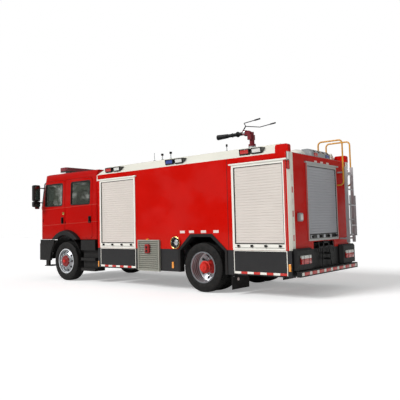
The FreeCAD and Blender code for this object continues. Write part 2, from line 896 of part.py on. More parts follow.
def shutter_frame(width, low, high):
    """White frame facing -Y with a drip rail above and a lift bar across its foot."""
    half = width / 2
    band = box(-half, half, -frame_proud, 0, low, high)
    hole = box(-half + frame_band, half - frame_band, -overrun, overrun, low + frame_band, high - frame_band)
    reach = half + drip_rail_reach
    drip = box(-reach, reach, -drip_rail_proud, 0, high, high + drip_rail_height)
    bar_half = half - frame_band
    bar = box(-bar_half, bar_half, -frame_proud, 0, low + frame_band, low + frame_band + lift_bar_height)
    pieces = [band.cut(hole), drip, bar]
    for share in lift_bracket_shares:
        x = -bar_half + share * 2 * bar_half
        z = low + frame_band + lift_bar_height / 4
        pieces.append(box(x - frame_proud, x + frame_proud, -frame_proud * 3, 0, z, z + lift_bar_height / 2))
    return fused(pieces)


def on_walls(make_side, make_rear):
    """Left pieces at both lockers, their mirror images and the rear one."""
    pieces = []
    for x, width in lockers:
        piece = make_side(width)
        piece.translate(Vector(x + width / 2, -half_width, 0))
        pieces += both(piece)
    rear = make_rear()
    rear.rotate(Vector(0, 0, 0), Vector(0, 0, 1), 90)
    rear.translate(Vector(body_rear_x, 0, 0))
    return each_solid(pieces + [rear])


def shutters():
    side = lambda width: slats(width - frame_band, frame_bottom_z + frame_inset, frame_top_z - frame_inset)
    width = rear_shutter_half * 2 - frame_band
    rear = lambda: slats(width, rear_frame_bottom_z + frame_inset, rear_frame_top_z - frame_inset)
    return on_walls(side, rear)


def shutter_frames():
    side = lambda width: shutter_frame(width, frame_bottom_z, frame_top_z)
    rear = lambda: shutter_frame(rear_shutter_half * 2, rear_frame_bottom_z, rear_frame_top_z)
    return on_walls(side, rear)


# Dark lower panels
flap_axis_y = half_width - flap_hinge_radius
flap_axis_z = skirt_bottom_z + flap_hinge_radius
flap_low_z = skirt_bottom_z + flap_hinge_radius * 2 + panel_gap
flap_high_z = frame_bottom_z - panel_gap
sill_front_y = half_width - flap_thickness - panel_gap


def hinge_places(x, width):
    return [x + panel_gap + share * (width - 2 * panel_gap) for share in flap_hinge_shares]


def locker_skirt(x, width, start, stop):
    """Left panels round a fold-down flap at x, with the open step well behind it."""
    end = x + width
    back = -half_width + skirt_return
    pieces = []
    for a, b in ((start, x), (end, stop)):
        if b - a > skirt_thickness / 2:
            pieces.append(box(a, b, -half_width, -half_width + skirt_thickness, skirt_bottom_z, body_floor_z))
    for a in (x - skirt_thickness, end):
        pieces.append(box(a, a + skirt_thickness, -half_width, back, skirt_bottom_z, body_floor_z))
    pieces.append(box(x - skirt_thickness, end + skirt_thickness, back, back + skirt_thickness, skirt_bottom_z, body_floor_z))
    pieces.append(box(x - skirt_thickness, end + skirt_thickness, -sill_front_y, back, skirt_bottom_z, skirt_bottom_z + sill_height))
    for centre in hinge_places(x, width):
        for a in (centre - flap_hinge_length / 2 - seat_gap - flap_lug, centre + flap_hinge_length / 2 + seat_gap):
            pieces.append(rod(flap_hinge_radius, Vector(a, -flap_axis_y, flap_axis_z), Vector(a + flap_lug, -flap_axis_y, flap_axis_z)))
            pieces.append(box(a, a + flap_lug, -flap_axis_y, -sill_front_y + overrun, skirt_bottom_z, flap_axis_z + flap_hinge_radius / 2))
    low = rail_bottom_z + overrun
    for a in (x - skirt_thickness, end + skirt_thickness - skirt_strap):
        pieces.append(box(a, a + skirt_strap, back, -rail_outer_y, low, low + skirt_thickness))
    return fused(pieces)


def skirts():
    arch_start = rear_axle_x + rear_arch_front + arch_band
    arch_stop = rear_axle_x + rear_arch_end - arch_band
    front = locker_skirt(front_shutter_x, shutter_width, body_front_x, arch_start)
    rear = locker_skirt(rear_shutter_x, rear_side_width, arch_stop, body_rear_x)
    return each_solid(both(front) + both(rear))


def step_flap(x, width, side):
    """Flap hinged along its lower edge, folding down to a step."""
    start = x + panel_gap
    stop = x + width - panel_gap
    pieces = [box(start, stop, -half_width, -half_width + flap_thickness, flap_low_z, flap_high_z)]
    pieces[0] = pieces[0].cut(box(
        start + flap_thickness, stop - flap_thickness, -half_width + flap_thickness / 3, -half_width + flap_thickness + overrun,
        flap_low_z + flap_thickness, flap_high_z - flap_thickness,
    ))
    for centre in hinge_places(x, width):
        a = centre - flap_hinge_length / 2
        b = centre + flap_hinge_length / 2
        pieces.append(rod(flap_hinge_radius, Vector(a, -flap_axis_y, flap_axis_z), Vector(b, -flap_axis_y, flap_axis_z)))
        leaf = flap_hinge_radius / 2
        pieces.append(box(a, b, -flap_axis_y - leaf, -flap_axis_y + leaf, flap_axis_z, flap_low_z + leaf))
    flap = fused(pieces)
    return flap if side < 0 else mirrored(flap)


def wheel_guards():
    """Octagonal trims round the rear arches, mudflaps and the arcs over the front wheels."""
    band = arch_prism(0, skirt_bottom_z, -half_width - arch_proud, -half_width)
    hole = arch_prism(arch_band, skirt_bottom_z - overrun, -half_width - arch_proud - overrun, -half_width + overrun)
    trim = band.cut(hole)
    lining = arch_prism(arch_band, skirt_bottom_z, -half_width, -half_width + arch_band * 2)
    inner = arch_prism(arch_band + arch_proud / 2, skirt_bottom_z - overrun, -half_width - overrun, -half_width + arch_band * 2 + overrun)
    trim = fused([trim, lining.cut(inner)])
    flap_x = rear_axle_x + mudflap_offset
    outer_y = half_width - skirt_thickness - overrun / 2
    flap = box(flap_x, flap_x + mudflap_thickness, -outer_y, -half_width + mudflap_width, mudflap_bottom_z, skirt_bottom_z)
    rear = flap_x + mudflap_thickness
    low = skirt_bottom_z - mudflap_stay
    bar = box(rear, rear + mudflap_stay, -outer_y, -rail_outer_y, low, skirt_bottom_z)
    upright = box(rear, rear + mudflap_stay, -rail_outer_y - mudflap_stay, -rail_outer_y, low, rail_bottom_z + skirt_strap)
    flap = fused([flap, bar, upright])
    z = tyre_radius
    outer_y = front_tyre_face_y + seat_gap * 20
    inner_y = arch_depth_y + overrun
    start = Vector(front_axle_x, -outer_y, z)
    arc = Part.makeCylinder(guard_outer_radius, outer_y - inner_y, start, Vector(0, 1, 0))
    arc = arc.cut(Part.makeCylinder(guard_outer_radius - guard_thickness, outer_y - inner_y, start, Vector(0, 1, 0)))
    keep = box(front_axle_x - guard_outer_radius, front_axle_x + guard_outer_radius, -outer_y - overrun, -inner_y + overrun, z + guard_outer_radius * 0.32, z + guard_outer_radius + overrun)
    arc = arc.common(keep)
    low = z + guard_outer_radius * 0.5
    stay = box(front_axle_x + guard_outer_radius * 0.845, front_axle_x + guard_outer_radius * 0.87, -inner_y - overrun, -rail_outer_y, low, low + overrun)
    arc = fused([arc, stay])
    return each_solid(both(trim) + both(flap) + both(arc))


def louvred_guard():
    """Slanted louvres in a border, standing proud of the side."""
    start = body_front_x + guard_start
    stop = start + guard_width
    face = -half_width - guard_proud
    border = box(start, stop, face, -half_width, guard_bottom_z, guard_top_z)
    hole = box(start + guard_border, stop - guard_border, face - overrun, -half_width - louvre_thickness, guard_bottom_z + guard_border, guard_top_z - guard_border)
    pieces = [border.cut(hole)]
    low = guard_bottom_z + guard_border
    pitch = (guard_top_z - guard_bottom_z - 2 * guard_border) / louvre_count
    inner = -half_width - louvre_thickness / 2
    outer = face + louvre_thickness / 2
    for i in range(louvre_count):
        z = low + i * pitch
        corners = plain([(inner, z + pitch * 0.8), (outer, z + pitch * 0.15), (outer, z + pitch * 0.35), (inner, z + pitch)])
        pieces.append(slab(corners, on_front(start + guard_border / 2), Vector(guard_width - guard_border, 0, 0)))
    return fused(pieces)


def hose_inlet():
    x = body_front_x + inlet_offset
    face = -half_width - inlet_proud
    spigot = inlet_bore_radius + rim_wall
    flange = Part.makeCylinder(inlet_radius, inlet_proud, Vector(x, face, inlet_z), Vector(0, 1, 0))
    flange = flange.makeFillet(inlet_proud / 3, [e for e in flange.Edges if e.Length > inlet_radius and e.BoundBox.YMax < face + seat_gap])
    neck = Part.makeCylinder(spigot, body_wall, Vector(x, -half_width, inlet_z), Vector(0, 1, 0))
    bore = Part.makeCylinder(inlet_bore_radius, inlet_proud + body_wall - rim_wall, Vector(x, face, inlet_z), Vector(0, 1, 0))
    return fused([flange, neck]).cut(bore)


# Cab: a lofted form, cut hollow, with doors taken from the same skin
def cab_form(inset):
    belt = cab_belt_z
    roof = cab_roof_z - inset
    top = roof + overrun
    front = cab_front_x + inset
    slope = windscreen_lean / (cab_roof_z - belt)
    lean_in = cab_roof_lean / (cab_roof_z - belt)
    round_front = cab_corner - inset
    round_rear = cab_rear_corner * (1 - inset / (cab_wall * 2))

    def section(z):
        rise = max(z - belt, 0)
        x = front + rise * slope
        y = cab_half_width - inset - rise * lean_in
        corners = [(x, -y, round_front), (cab_rear_x - inset, -y, round_rear),
                   (cab_rear_x - inset, y, round_rear), (x, y, round_front)]
        return outline(corners, on_floor(z))

    low_section = section(cab_floor_z + inset * floor_skin_share)
    body = Part.makeLoft([low_section, section(belt), section(top)], True, True)
    rear = cab_rear_x + overrun
    side = [
        (rear, cab_floor_z, 0),
        (rear, cab_roof_rear_z - inset, 0),
        (front + (roof - belt) * slope, roof, brow_radius - inset),
        (front, belt, 0),
        (front, cab_floor_z, 0),
    ]
    body = body.common([slab(side, on_side(-half_width), Vector(0, half_width * 2, 0))], join_tolerance)
    low = cab_half_width - inset
    high = low - (roof - belt) * lean_in
    edge = cab_roof_edge - inset
    ends = [(-low, cab_floor_z, 0), (-low, belt, 0), (-high, roof, edge), (high, roof, edge), (low, belt, 0), (low, cab_floor_z, 0)]
    run = Vector(cab_rear_x - cab_front_x + overrun * 2, 0, 0)
    return body.common([slab(ends, on_front(cab_front_x - overrun), run)], join_tolerance)


outer_form = cab_form(0)
inner_form = cab_form(cab_wall)
clear_form = cab_form(cab_wall + panel_gap)
glass_layer = cab_form(glass_inset).cut(cab_form(glass_inset + glass_thickness))
cab_skin = outer_form.cut(inner_form)


def side_prism(corners, side):
    """Prism through one side of the cab, from outline corners measured from the front axle."""
    y = side * (half_width + overrun)
    moved = [(front_axle_x + u, v, radius) for u, v, radius in corners]
    return slab(moved, on_side(y), Vector(0, -side * (half_width + overrun - arch_depth_y), 0))


def arch_cylinder(radius, side, inner_y):
    start = Vector(front_axle_x, side * inner_y, tyre_radius)
    return Part.makeCylinder(radius, half_width + overrun - inner_y, start, Vector(0, side, 0))


def door_corners(start, stop, gap_front, gap_rear):
    return [
        (start + gap_front, door_low_z + gap_front, door_corner),
        (start + gap_front, door_high_z - gap_front, door_corner),
        (stop - gap_rear, door_high_z - gap_front, door_corner),
        (stop - gap_rear, door_low_z + gap_front, door_corner),
    ]


def window_corners(start, stop, low, high):
    return [(start, low, window_corner), (start, high, window_corner), (stop, high, window_corner), (stop, low, window_corner)]


rear_door_start = front_door_end + door_pillar
door_spans = {"front": (front_door_start, front_door_end), "rear": (rear_door_start, rear_door_end)}
window_spans = {"front": (front_window_start, front_window_end), "rear": (rear_window_start, rear_window_end)}


def hinge_heights(row):
    low = arch_outer_radius + tyre_radius if row == "rear" else door_low_z
    return [low + share * (window_low_z - low) + hinge_length for share in hinge_place_shares]


def hinge_axis(row, side):
    return Vector(front_axle_x + door_spans[row][0], side * cab_half_width, 0)


def window_prism(row, side):
    start, stop = window_spans[row]
    return side_prism(window_corners(start, stop, window_low_z, window_high_z), side)


def door(row, side):
    start, stop = door_spans[row]
    prism = side_prism(door_corners(start, stop, panel_gap, door_swing_gap), side)
    panel = cab_skin.common(prism)
    panel = panel.cut(arch_cylinder(arch_outer_radius + panel_gap, side, arch_depth_y))
    panel = panel.cut(window_prism(row, side))
    axis = hinge_axis(row, side)
    for z in hinge_heights(row):
        reach = hinge_length / 2 + hinge_lug + seat_gap + panel_gap
        notch = Part.makeCylinder(hinge_notch, reach * 2, Vector(axis.x, axis.y, z - reach))
        panel = panel.cut(notch)
    pieces = [panel]
    for z in hinge_heights(row):
        low = z - hinge_length / 2
        high = z + hinge_length / 2
        pieces.append(Part.makeCylinder(hinge_radius, hinge_length, Vector(axis.x, axis.y, low)))
        leaf = hinge_radius / 2
        a = axis.y
        b = axis.y - side * hinge_radius
        pieces.append(box(axis.x, axis.x + hinge_notch + leaf, min(a, b), max(a, b), low, high))
    x = front_axle_x + stop - handle_width * 1.6
    a = side * (cab_half_width - glass_inset)
    b = side * (cab_half_width + handle_depth)
    grip = box(x, x + handle_width * 0.7, min(a, b), max(a, b), handle_z - handle_height / 2, handle_z + handle_height / 2)
    grip = grip.makeFillet(handle_depth / 4, [e for e in grip.Edges if abs(e.BoundBox.YMin - b) < seat_gap and abs(e.BoundBox.YMax - b) < seat_gap])
    return fused(pieces + [grip])


def door_glass(row, side):
    return glass_layer.common(window_prism(row, side))


def windscreen_prism():
    half = windscreen_half_width
    corners = [
        (-half, windscreen_low_z, window_corner * 2), (-half + cab_roof_lean, windscreen_high_z, window_corner * 2),
        (half - cab_roof_lean, windscreen_high_z, window_corner * 2), (half, windscreen_low_z, window_corner * 2),
    ]
    return slab(corners, on_front(cab_front_x - overrun), Vector(windscreen_lean + cab_corner, 0, 0))


def cab_shell():
    room = inner_form.cut(box(cab_front_x, step_well_x, -cab_half_width, cab_half_width, cab_floor_z - overrun, front_floor_top_z))
    room = room.cut(box(step_well_x, cab_rear_x, -cab_half_width, cab_half_width, cab_floor_z - overrun, step_well_z))
    room = room.cut(box(step_well_x - overrun, cab_rear_x, -arch_depth_y, arch_depth_y, cab_floor_z - overrun, front_floor_top_z))
    shell = outer_form.cut(room)
    bay = arch_depth_y - cab_wall
    shell = shell.cut(box(cab_front_x + cab_wall, cab_rear_x - cab_wall, -bay, bay, cab_floor_z - overrun, front_floor_top_z - cab_wall))
    for side in (-1, 1):
        shell = shell.cut(arch_cylinder(arch_inner_radius, side, arch_depth_y - overrun))
        for row, (start, stop) in door_spans.items():
            opening = side_prism(door_corners(start, stop, 0, 0), side)
            opening = opening.cut(arch_cylinder(arch_outer_radius, side, arch_depth_y - overrun))
            shell = shell.cut(opening.cut(clear_form))
            axis = hinge_axis(row, side)
            high = hinge_length + 2 * seat_gap
            notches = [Part.makeCylinder(hinge_notch, high, Vector(axis.x, axis.y, z - high / 2)) for z in hinge_heights(row)]
            shell = shell.cut(notches)
    shell = shell.cut(windscreen_prism())
    lugs = []
    for side in (-1, 1):
        for row in door_spans:
            axis = hinge_axis(row, side)
            for z in hinge_heights(row):
                for low in (z - hinge_length / 2 - seat_gap - hinge_lug, z + hinge_length / 2 + seat_gap):
                    lugs.append(Part.makeCylinder(hinge_radius, hinge_lug, Vector(axis.x, axis.y, low)))
                    a = axis.y
                    b = axis.y - side * hinge_radius
                    lugs.append(box(axis.x - hinge_notch, axis.x, min(a, b), max(a, b), low, low + hinge_lug))
    ears = []
    half = cab_pivot_radius * 1.3
    for side in (-1, 1):
        y0 = min(side * cab_pivot_y, side * (cab_pivot_y + cab_pivot_width))
        y1 = y0 + cab_pivot_width
        ear = box(cab_pivot_x - half, cab_pivot_x + half, y0, y1, cab_pivot_z - half, cab_floor_z + cab_wall)
        foot = box(cab_front_x + cab_wall / 2, cab_pivot_x + half, y0, y1, cab_floor_z, cab_floor_z + cab_wall)
        start = Vector(cab_pivot_x, y0 - overrun, cab_pivot_z)
        bore = rod(cab_pivot_radius + seat_gap, start, start + Vector(0, cab_pivot_width + 2 * overrun, 0))
        ears += [ear.cut(bore), foot]
    return fused([shell] + lugs + ears)


def cab_glass():
    return glass_layer.common(windscreen_prism())


def arch_flare(side):
    lip = arch_outer_radius - arch_inner_radius
    reach = arch_flare_y - cab_half_width
    profile = plain([
        (0, arch_outer_radius),
        (reach * 0.7, arch_outer_radius - lip / 10),
        (reach * 0.95, arch_outer_radius - lip / 5),
        (reach, arch_outer_radius - lip / 3),
        (reach, arch_inner_radius),
        (0, arch_inner_radius),
    ])
    place = lambda u, v: Vector(front_axle_x, side * (cab_half_width + u), tyre_radius - v)
    flare = Part.Face(outline(profile, place)).revolve(place(0, 0), Vector(0, 1, 0), 360)
    wide = arch_outer_radius + overrun
    keep = box(front_axle_x - wide, front_axle_x + wide, -half_width, half_width, cab_floor_z, tyre_radius + wide)
    return flare.common(keep)


def grille():
    face = cab_front_x - grille_proud
    panel = box(face, cab_front_x, -grille_half, grille_half, grille_low_z, grille_high_z)
    pitch = (grille_high_z - grille_low_z) / grille_bar_count
    slots = []
    for i in range(grille_bar_count):
        z = grille_low_z + (i + 0.25) * pitch
        slots.append(box(face - overrun, face + grille_proud * 0.7, -grille_half + pitch / 2, grille_half - pitch / 2, z, z + pitch / 2))
    return panel.cut(slots)


def cab_trim():
    return each_solid([arch_flare(-1), arch_flare(1), grille()])


def rounded_box(x0, x1, y0, y1, z0, z1, radius):
    corners = [(y0, z0, radius), (y0, z1, radius), (y1, z1, radius), (y1, z0, radius)]
    return slab(corners, on_front(x0), Vector(x1 - x0, 0, 0))


def mirrors():
    x = front_axle_x + mirror_offset
    low = mirror_z - mirror_height / 2
    high = mirror_z + mirror_height / 2
    y0 = -mirror_y - mirror_width / 2
    y1 = -mirror_y + mirror_width / 2
    round_off = mirror_width / 5
    head = rounded_box(x - mirror_depth / 2, x + mirror_depth / 2, y0, y1, low, high, round_off)
    kerb_low = kerb_mirror_z
    kerb = rounded_box(x - mirror_depth / 2, x + mirror_depth / 2, y0, y1, kerb_low, kerb_low + kerb_mirror_height, round_off)
    y = -mirror_y
    root = -cab_half_width + cab_corner
    arms = [
        rod(mirror_arm_radius, Vector(x, y, kerb_low + round_off), Vector(x, y, high - round_off)),
        rod(mirror_arm_radius, Vector(x, y, high - round_off * 2), Vector(x, root, high - round_off * 2)),
        rod(mirror_arm_radius, Vector(x, y, low - round_off), Vector(x, root, low - round_off)),
    ]
    unit = fused([head, kerb] + arms).cut(outer_form)
    return each_solid(both(unit))


def beacon_bar():
    x = front_axle_x + beacon_offset
    corners = [
        (x - beacon_depth / 2, -beacon_half, beacon_corner), (x + beacon_depth / 2, -beacon_half, beacon_corner),
        (x + beacon_depth / 2, beacon_half, beacon_corner), (x - beacon_depth / 2, beacon_half, beacon_corner),
    ]
    bar = slab(corners, on_floor(beacon_low_z), Vector(0, 0, beacon_height))
    pieces = [bar]
    for side in (-1, 1):
        y = side * beacon_foot_y
        foot = box(x - beacon_depth / 3, x + beacon_depth / 3, y - beacon_foot_width / 2, y + beacon_foot_width / 2, cab_roof_z - cab_wall / 2, beacon_low_z)
        pieces.append(foot.cut(outer_form))
    return fused(pieces)


def seat(x, y0, y1):
    floor = front_floor_top_z
    top = floor + seat_base_height + seat_height
    base = box(x + seat_height / 2, x + seat_depth - seat_height / 4, y0 + seat_height / 2, y1 - seat_height / 2, floor, floor + seat_base_height)
    soft = seat_height / 3
    cushion = [(x, floor + seat_base_height, soft), (x, top, soft), (x + seat_depth, top, 0), (x + seat_depth, floor + seat_base_height, soft)]
    back = [
        (x + seat_depth - seat_back_thickness, top - soft, 0),
        (x + seat_depth - seat_back_thickness + seat_lean, top + seat_back_height, soft),
        (x + seat_depth + seat_lean, top + seat_back_height, soft),
        (x + seat_depth, top - soft, 0),
    ]
    run = Vector(0, y1 - y0, 0)
    return fused([base, slab(cushion, on_side(y0), run), slab(back, on_side(y0), run)])


def seats():
    pieces = []
    for side in (-1, 1):
        middle = side * -steering_y
        pieces.append(seat(front_seat_x, middle - seat_width / 2, middle + seat_width / 2))
    bench_half = cab_half_width - cab_wall * 3
    bench_x = cab_rear_x - cab_wall - seat_depth - seat_lean - seat_gap
    pieces.append(seat(bench_x, -bench_half, bench_half))
    return each_solid(pieces)


def dashboard():
    half = cab_half_width - cab_corner
    face = cab_front_x + cab_wall
    low = dash_top_z - dash_height
    soft = seat_height / 2
    shape = [(face, low, 0), (face, dash_top_z, 0), (face + dash_depth / 2, dash_top_z, soft), (face + dash_depth, low + dash_height / 2, soft), (face + dash_depth, low, soft)]
    dash = slab(shape, on_side(-half), Vector(0, half * 2, 0))
    tilt = math.radians(steering_tilt)
    along = Vector(math.cos(tilt), 0, math.sin(tilt))
    root = Vector(face + dash_depth / 2, steering_y, low + dash_height * 0.6)
    hub = root + along * dash_height
    wheel = Part.makeTorus(steering_wheel_radius, steering_rim_radius, hub, along)
    column = rod(steering_rim_radius * 1.6, root, hub)
    spoke_run = Vector(0, steering_wheel_radius, 0)
    spokes = rod(steering_rim_radius / 2, hub - spoke_run, hub + spoke_run)
    return fused([dash, column, wheel, spokes])


# Bumper, steps and low plates below the cab
def front_bumper():
    def plan(inset):
        low = bumper_half_width - inset
        corners = [
            (bumper_end_x + inset * 2, -low, 0), (bumper_front_x + inset, -low, bumper_corner - inset),
            (bumper_front_x + inset, low, bumper_corner - inset), (bumper_end_x + inset * 2, low, 0),
        ]
        return corners
    height = Vector(0, 0, bumper_top_z - bumper_bottom_z)
    shell = slab(plan(0), on_floor(bumper_bottom_z), height)
    shell = shell.cut(slab(plan(bumper_wall), on_floor(bumper_bottom_z), height))
    for side in (-1, 1):
        shell = shell.cut(arch_cylinder(arch_inner_radius, side, arch_depth_y))
    pockets = [lamp_block(side, seat_gap) for side in (-1, 1)]
    shell = shell.cut(pockets)
    pieces = [shell]
    for side in (-1, 1):
        y = side * (rail_outer_y - rail_flange / 2)
        pieces.append(box(bumper_front_x + bumper_wall / 2, rail_front_x, y - rail_flange / 4, y + rail_flange / 4, rail_bottom_z - rail_flange, rail_bottom_z + rail_wall))
    step_x = front_axle_x - bumper_half_width + bumper_corner + bumper_wall
    for side in (-1, 1):
        outer = side * bumper_half_width
        inner = side * (bumper_half_width - step_depth)
        y0, y1 = min(outer, inner), max(outer, inner)
        plate_z = bumper_bottom_z - step_depth / 2
        pieces.append(box(step_x, step_x + bumper_step_length, y0, y1, plate_z, plate_z + step_tread / 2))
        hang = side * (bumper_half_width - bumper_wall)
        a, b = min(outer, hang), max(outer, hang)
        pieces.append(box(step_x + bumper_wall, step_x + bumper_wall * 3, a, b, plate_z, bumper_bottom_z + overrun))
    return fused(pieces)


def lamp_block(side, grow):
    y = side * headlamp_y
    half_w = headlamp_width / 2 + grow
    half_h = headlamp_height / 2 + grow
    face = bumper_front_x - lamp_proud
    corners = [(y - half_w, headlamp_z - half_h, bumper_wall / 2), (y - half_w, headlamp_z + half_h, bumper_wall / 2),
               (y + half_w, headlamp_z + half_h, bumper_wall / 2), (y + half_w, headlamp_z - half_h, bumper_wall / 2)]
    depth = bumper_wall * 2
    return slab(corners, on_front(face), Vector(depth, 0, 0))


def cab_steps():
    """Stepped black panels behind the front wheels."""
    start = front_axle_x + step_front
    stop = front_axle_x + step_end
    treads = 3
    rise = (step_top_z - step_bottom_z) / treads
    points = [(-step_outer_y + step_depth, step_bottom_z), (-step_outer_y, step_bottom_z)]
    y = -step_outer_y
    for i in range(treads):
        z = step_bottom_z + i * rise
        points += [(y, z + step_tread * 1.5)] if i < treads - 1 else [(y, step_top_z)]
        if i < treads - 1:
            points += [(y + step_tread * 2, z + step_tread * 1.5), (y + step_tread * 2, z + rise), (y, z + rise)]
    points += [(-step_outer_y + step_depth, step_top_z)]
    panel = slab(plain(points), on_front(start), Vector(stop - start, 0, 0))
    inner = [(-step_outer_y + step_depth + overrun, step_bottom_z + step_tread), (-step_outer_y + step_tread * 3, step_bottom_z + step_tread),
             (-step_outer_y + step_tread * 3, step_top_z - step_tread), (-step_outer_y + step_depth + overrun, step_top_z - step_tread)]
    panel = panel.cut(slab(plain(inner), on_front(start + step_tread), Vector(stop - start - step_tread * 2, 0, 0)))
    middle = (rail_top_z + rail_bottom_z) / 2
    bracket = box(start + step_tread, start + step_tread * 2, -step_outer_y + step_tread * 2, -rail_outer_y, middle, middle + step_tread)
    return each_solid(both(fused([panel, bracket])))


# Roof
def roof_fairing():
    """Leaning coaming along both sides and the front, open at the rear."""
    start = body_front_x - apron_thickness
    stop = body_rear_x - corner_box_length - seat_gap
    top_half = half_width - fairing_lean
    base = outline([(start, -half_width, 0), (stop, -half_width, 0), (stop, half_width, 0), (start, half_width, 0)], on_floor(body_roof_z))
    crown = outline([(start + fairing_front_lean, -top_half, 0), (stop, -top_half, 0), (stop, top_half, 0), (start + fairing_front_lean, top_half, 0)], on_floor(fairing_top_z))
    hull = Part.makeLoft([base, crown], True, True)
    inner = top_half - fairing_wall
    hull = hull.cut(box(start + fairing_front_lean + fairing_wall, stop + overrun, -inner, inner, body_roof_z - overrun, fairing_top_z + overrun))
    apron = box(start, body_front_x, -half_width, half_width, body_roof_z - apron_depth, body_roof_z)
    return fused([hull, apron])


def side_lamp(start):
    """Housing seated on the sloping fairing, with its lens facing outwards."""
    stop = start + side_lamp_width
    y = -half_width + fairing_lean * 0.35
    top = side_lamp_z + side_lamp_height
    corners = [(y - side_lamp_depth * 0.55, side_lamp_z, 0), (y - side_lamp_depth * 0.7, top, lamp_wall), (y + side_lamp_depth * 1.4, top, lamp_wall), (y + side_lamp_depth * 1.4, side_lamp_z, 0)]
    return slab(corners, on_front(start), Vector(side_lamp_width, 0, 0))


def lamps():
    pieces = []
    fairing = roof_fairing()
    for share in side_lamp_shares:
        lamp = side_lamp(body_front_x + share * body_length).cut(fairing)
        outer = max(lamp.Solids, key=lambda s: s.Volume)
        pieces += both(outer)
    for side in (-1, 1):
        pieces.append(lamp_block(side, 0))
        a = side * tail_lamp_inner_y
        b = side * tail_lamp_outer_y
        pieces.append(box(body_rear_x + tail_box_depth, body_rear_x + tail_box_depth + lamp_proud * 2, min(a, b), max(a, b), tail_lamp_low_z, tail_lamp_high_z))
    high = lamp_bar_high_z
    low = body_roof_z
    x = body_rear_x
    corners = [(x - lamp_bar_depth, low, 0), (x - lamp_bar_depth, high, 0), (x - lamp_bar_depth / 3, high, 0), (x + lamp_proud, low + (high - low) * 0.55, 0), (x + lamp_proud, low, 0)]
    pieces.append(slab(corners, on_side(-lamp_bar_half), Vector(0, lamp_bar_half * 2, 0)))
    return each_solid(pieces)


def manhole_coaming(x):
    half = manhole_half + manhole_wall
    outer = rounded_plan(x, half, manhole_wall * 2, body_roof_z, manhole_height)
    inner = rounded_plan(x, manhole_half - manhole_wall, manhole_wall, body_roof_z - overrun, manhole_height + overrun * 2)
    ring_piece = outer.cut(inner)
    lugs = lid_hinge(x, False)
    return fused([ring_piece] + lugs)


def rounded_plan(x, half, radius, z, height):
    corners = [(x - half, -half, radius), (x - half, half, radius), (x + half, half, radius), (x + half, -half, radius)]
    return slab(corners, on_floor(z), Vector(0, 0, height))


def lid_axis(x):
    return Vector(x + manhole_half + lid_overlap + hinge_radius * 2, 0, body_roof_z + manhole_height + lid_thickness / 2)


def lid_hinge(x, moving):
    """Barrels on the lid or the lugs between them on the coaming."""
    axis = lid_axis(x)
    pieces = []
    for share in lid_hinge_shares:
        y = share * manhole_half
        if moving:
            a, b = y - hinge_length / 2, y + hinge_length / 2
            pieces.append(rod(hinge_radius, Vector(axis.x, a, axis.z), Vector(axis.x, b, axis.z)))
            pieces.append(box(axis.x - hinge_radius * 3, axis.x, a, b, axis.z - hinge_radius / 2, axis.z + hinge_radius / 2))
            continue
        for a in (y - hinge_length / 2 - seat_gap - hinge_lug, y + hinge_length / 2 + seat_gap):
            pieces.append(rod(hinge_radius, Vector(axis.x, a, axis.z), Vector(axis.x, a + hinge_lug, axis.z)))
            foot = box(axis.x - hinge_radius, axis.x + hinge_radius, a, a + hinge_lug, body_roof_z, axis.z)
            pieces.append(foot)
            pieces.append(box(x + manhole_half, axis.x, a, a + hinge_lug, body_roof_z, body_roof_z + manhole_height / 2))
    return pieces


def manhole_lid(x):
    z = body_roof_z + manhole_height + seat_gap
    lid = rounded_plan(x, manhole_half + lid_overlap, manhole_wall * 2, z, lid_thickness)
    crown = rounded_plan(x, manhole_half * 0.7, manhole_wall * 2, z, lid_thickness * 1.5)
    axis = lid_axis(x)
    cut_y = hinge_length / 2 + hinge_lug + seat_gap + panel_gap
    for share in lid_hinge_shares:
        y = share * manhole_half
        lid = lid.cut(rod(hinge_radius * 2, Vector(axis.x, y - cut_y, axis.z), Vector(axis.x, y + cut_y, axis.z)))
    return fused([lid, crown] + lid_hinge(x, True))


def roof_fittings():
    return each_solid([manhole_coaming(front_axle_x + x) for x in manhole_places] + [monitor_foot()])


monitor_x = front_axle_x + monitor_offset


def monitor_foot():
    start = Vector(monitor_x, 0, body_roof_z)
    stop = Vector(monitor_x, 0, monitor_swivel_z)
    flange = rod(monitor_foot_radius, start, start + Vector(0, 0, monitor_flange))
    collar = rod(monitor_pipe_radius * 1.5, stop - Vector(0, 0, monitor_flange * 2), stop)
    return fused([flange, rod(monitor_pipe_radius, start, stop), collar])


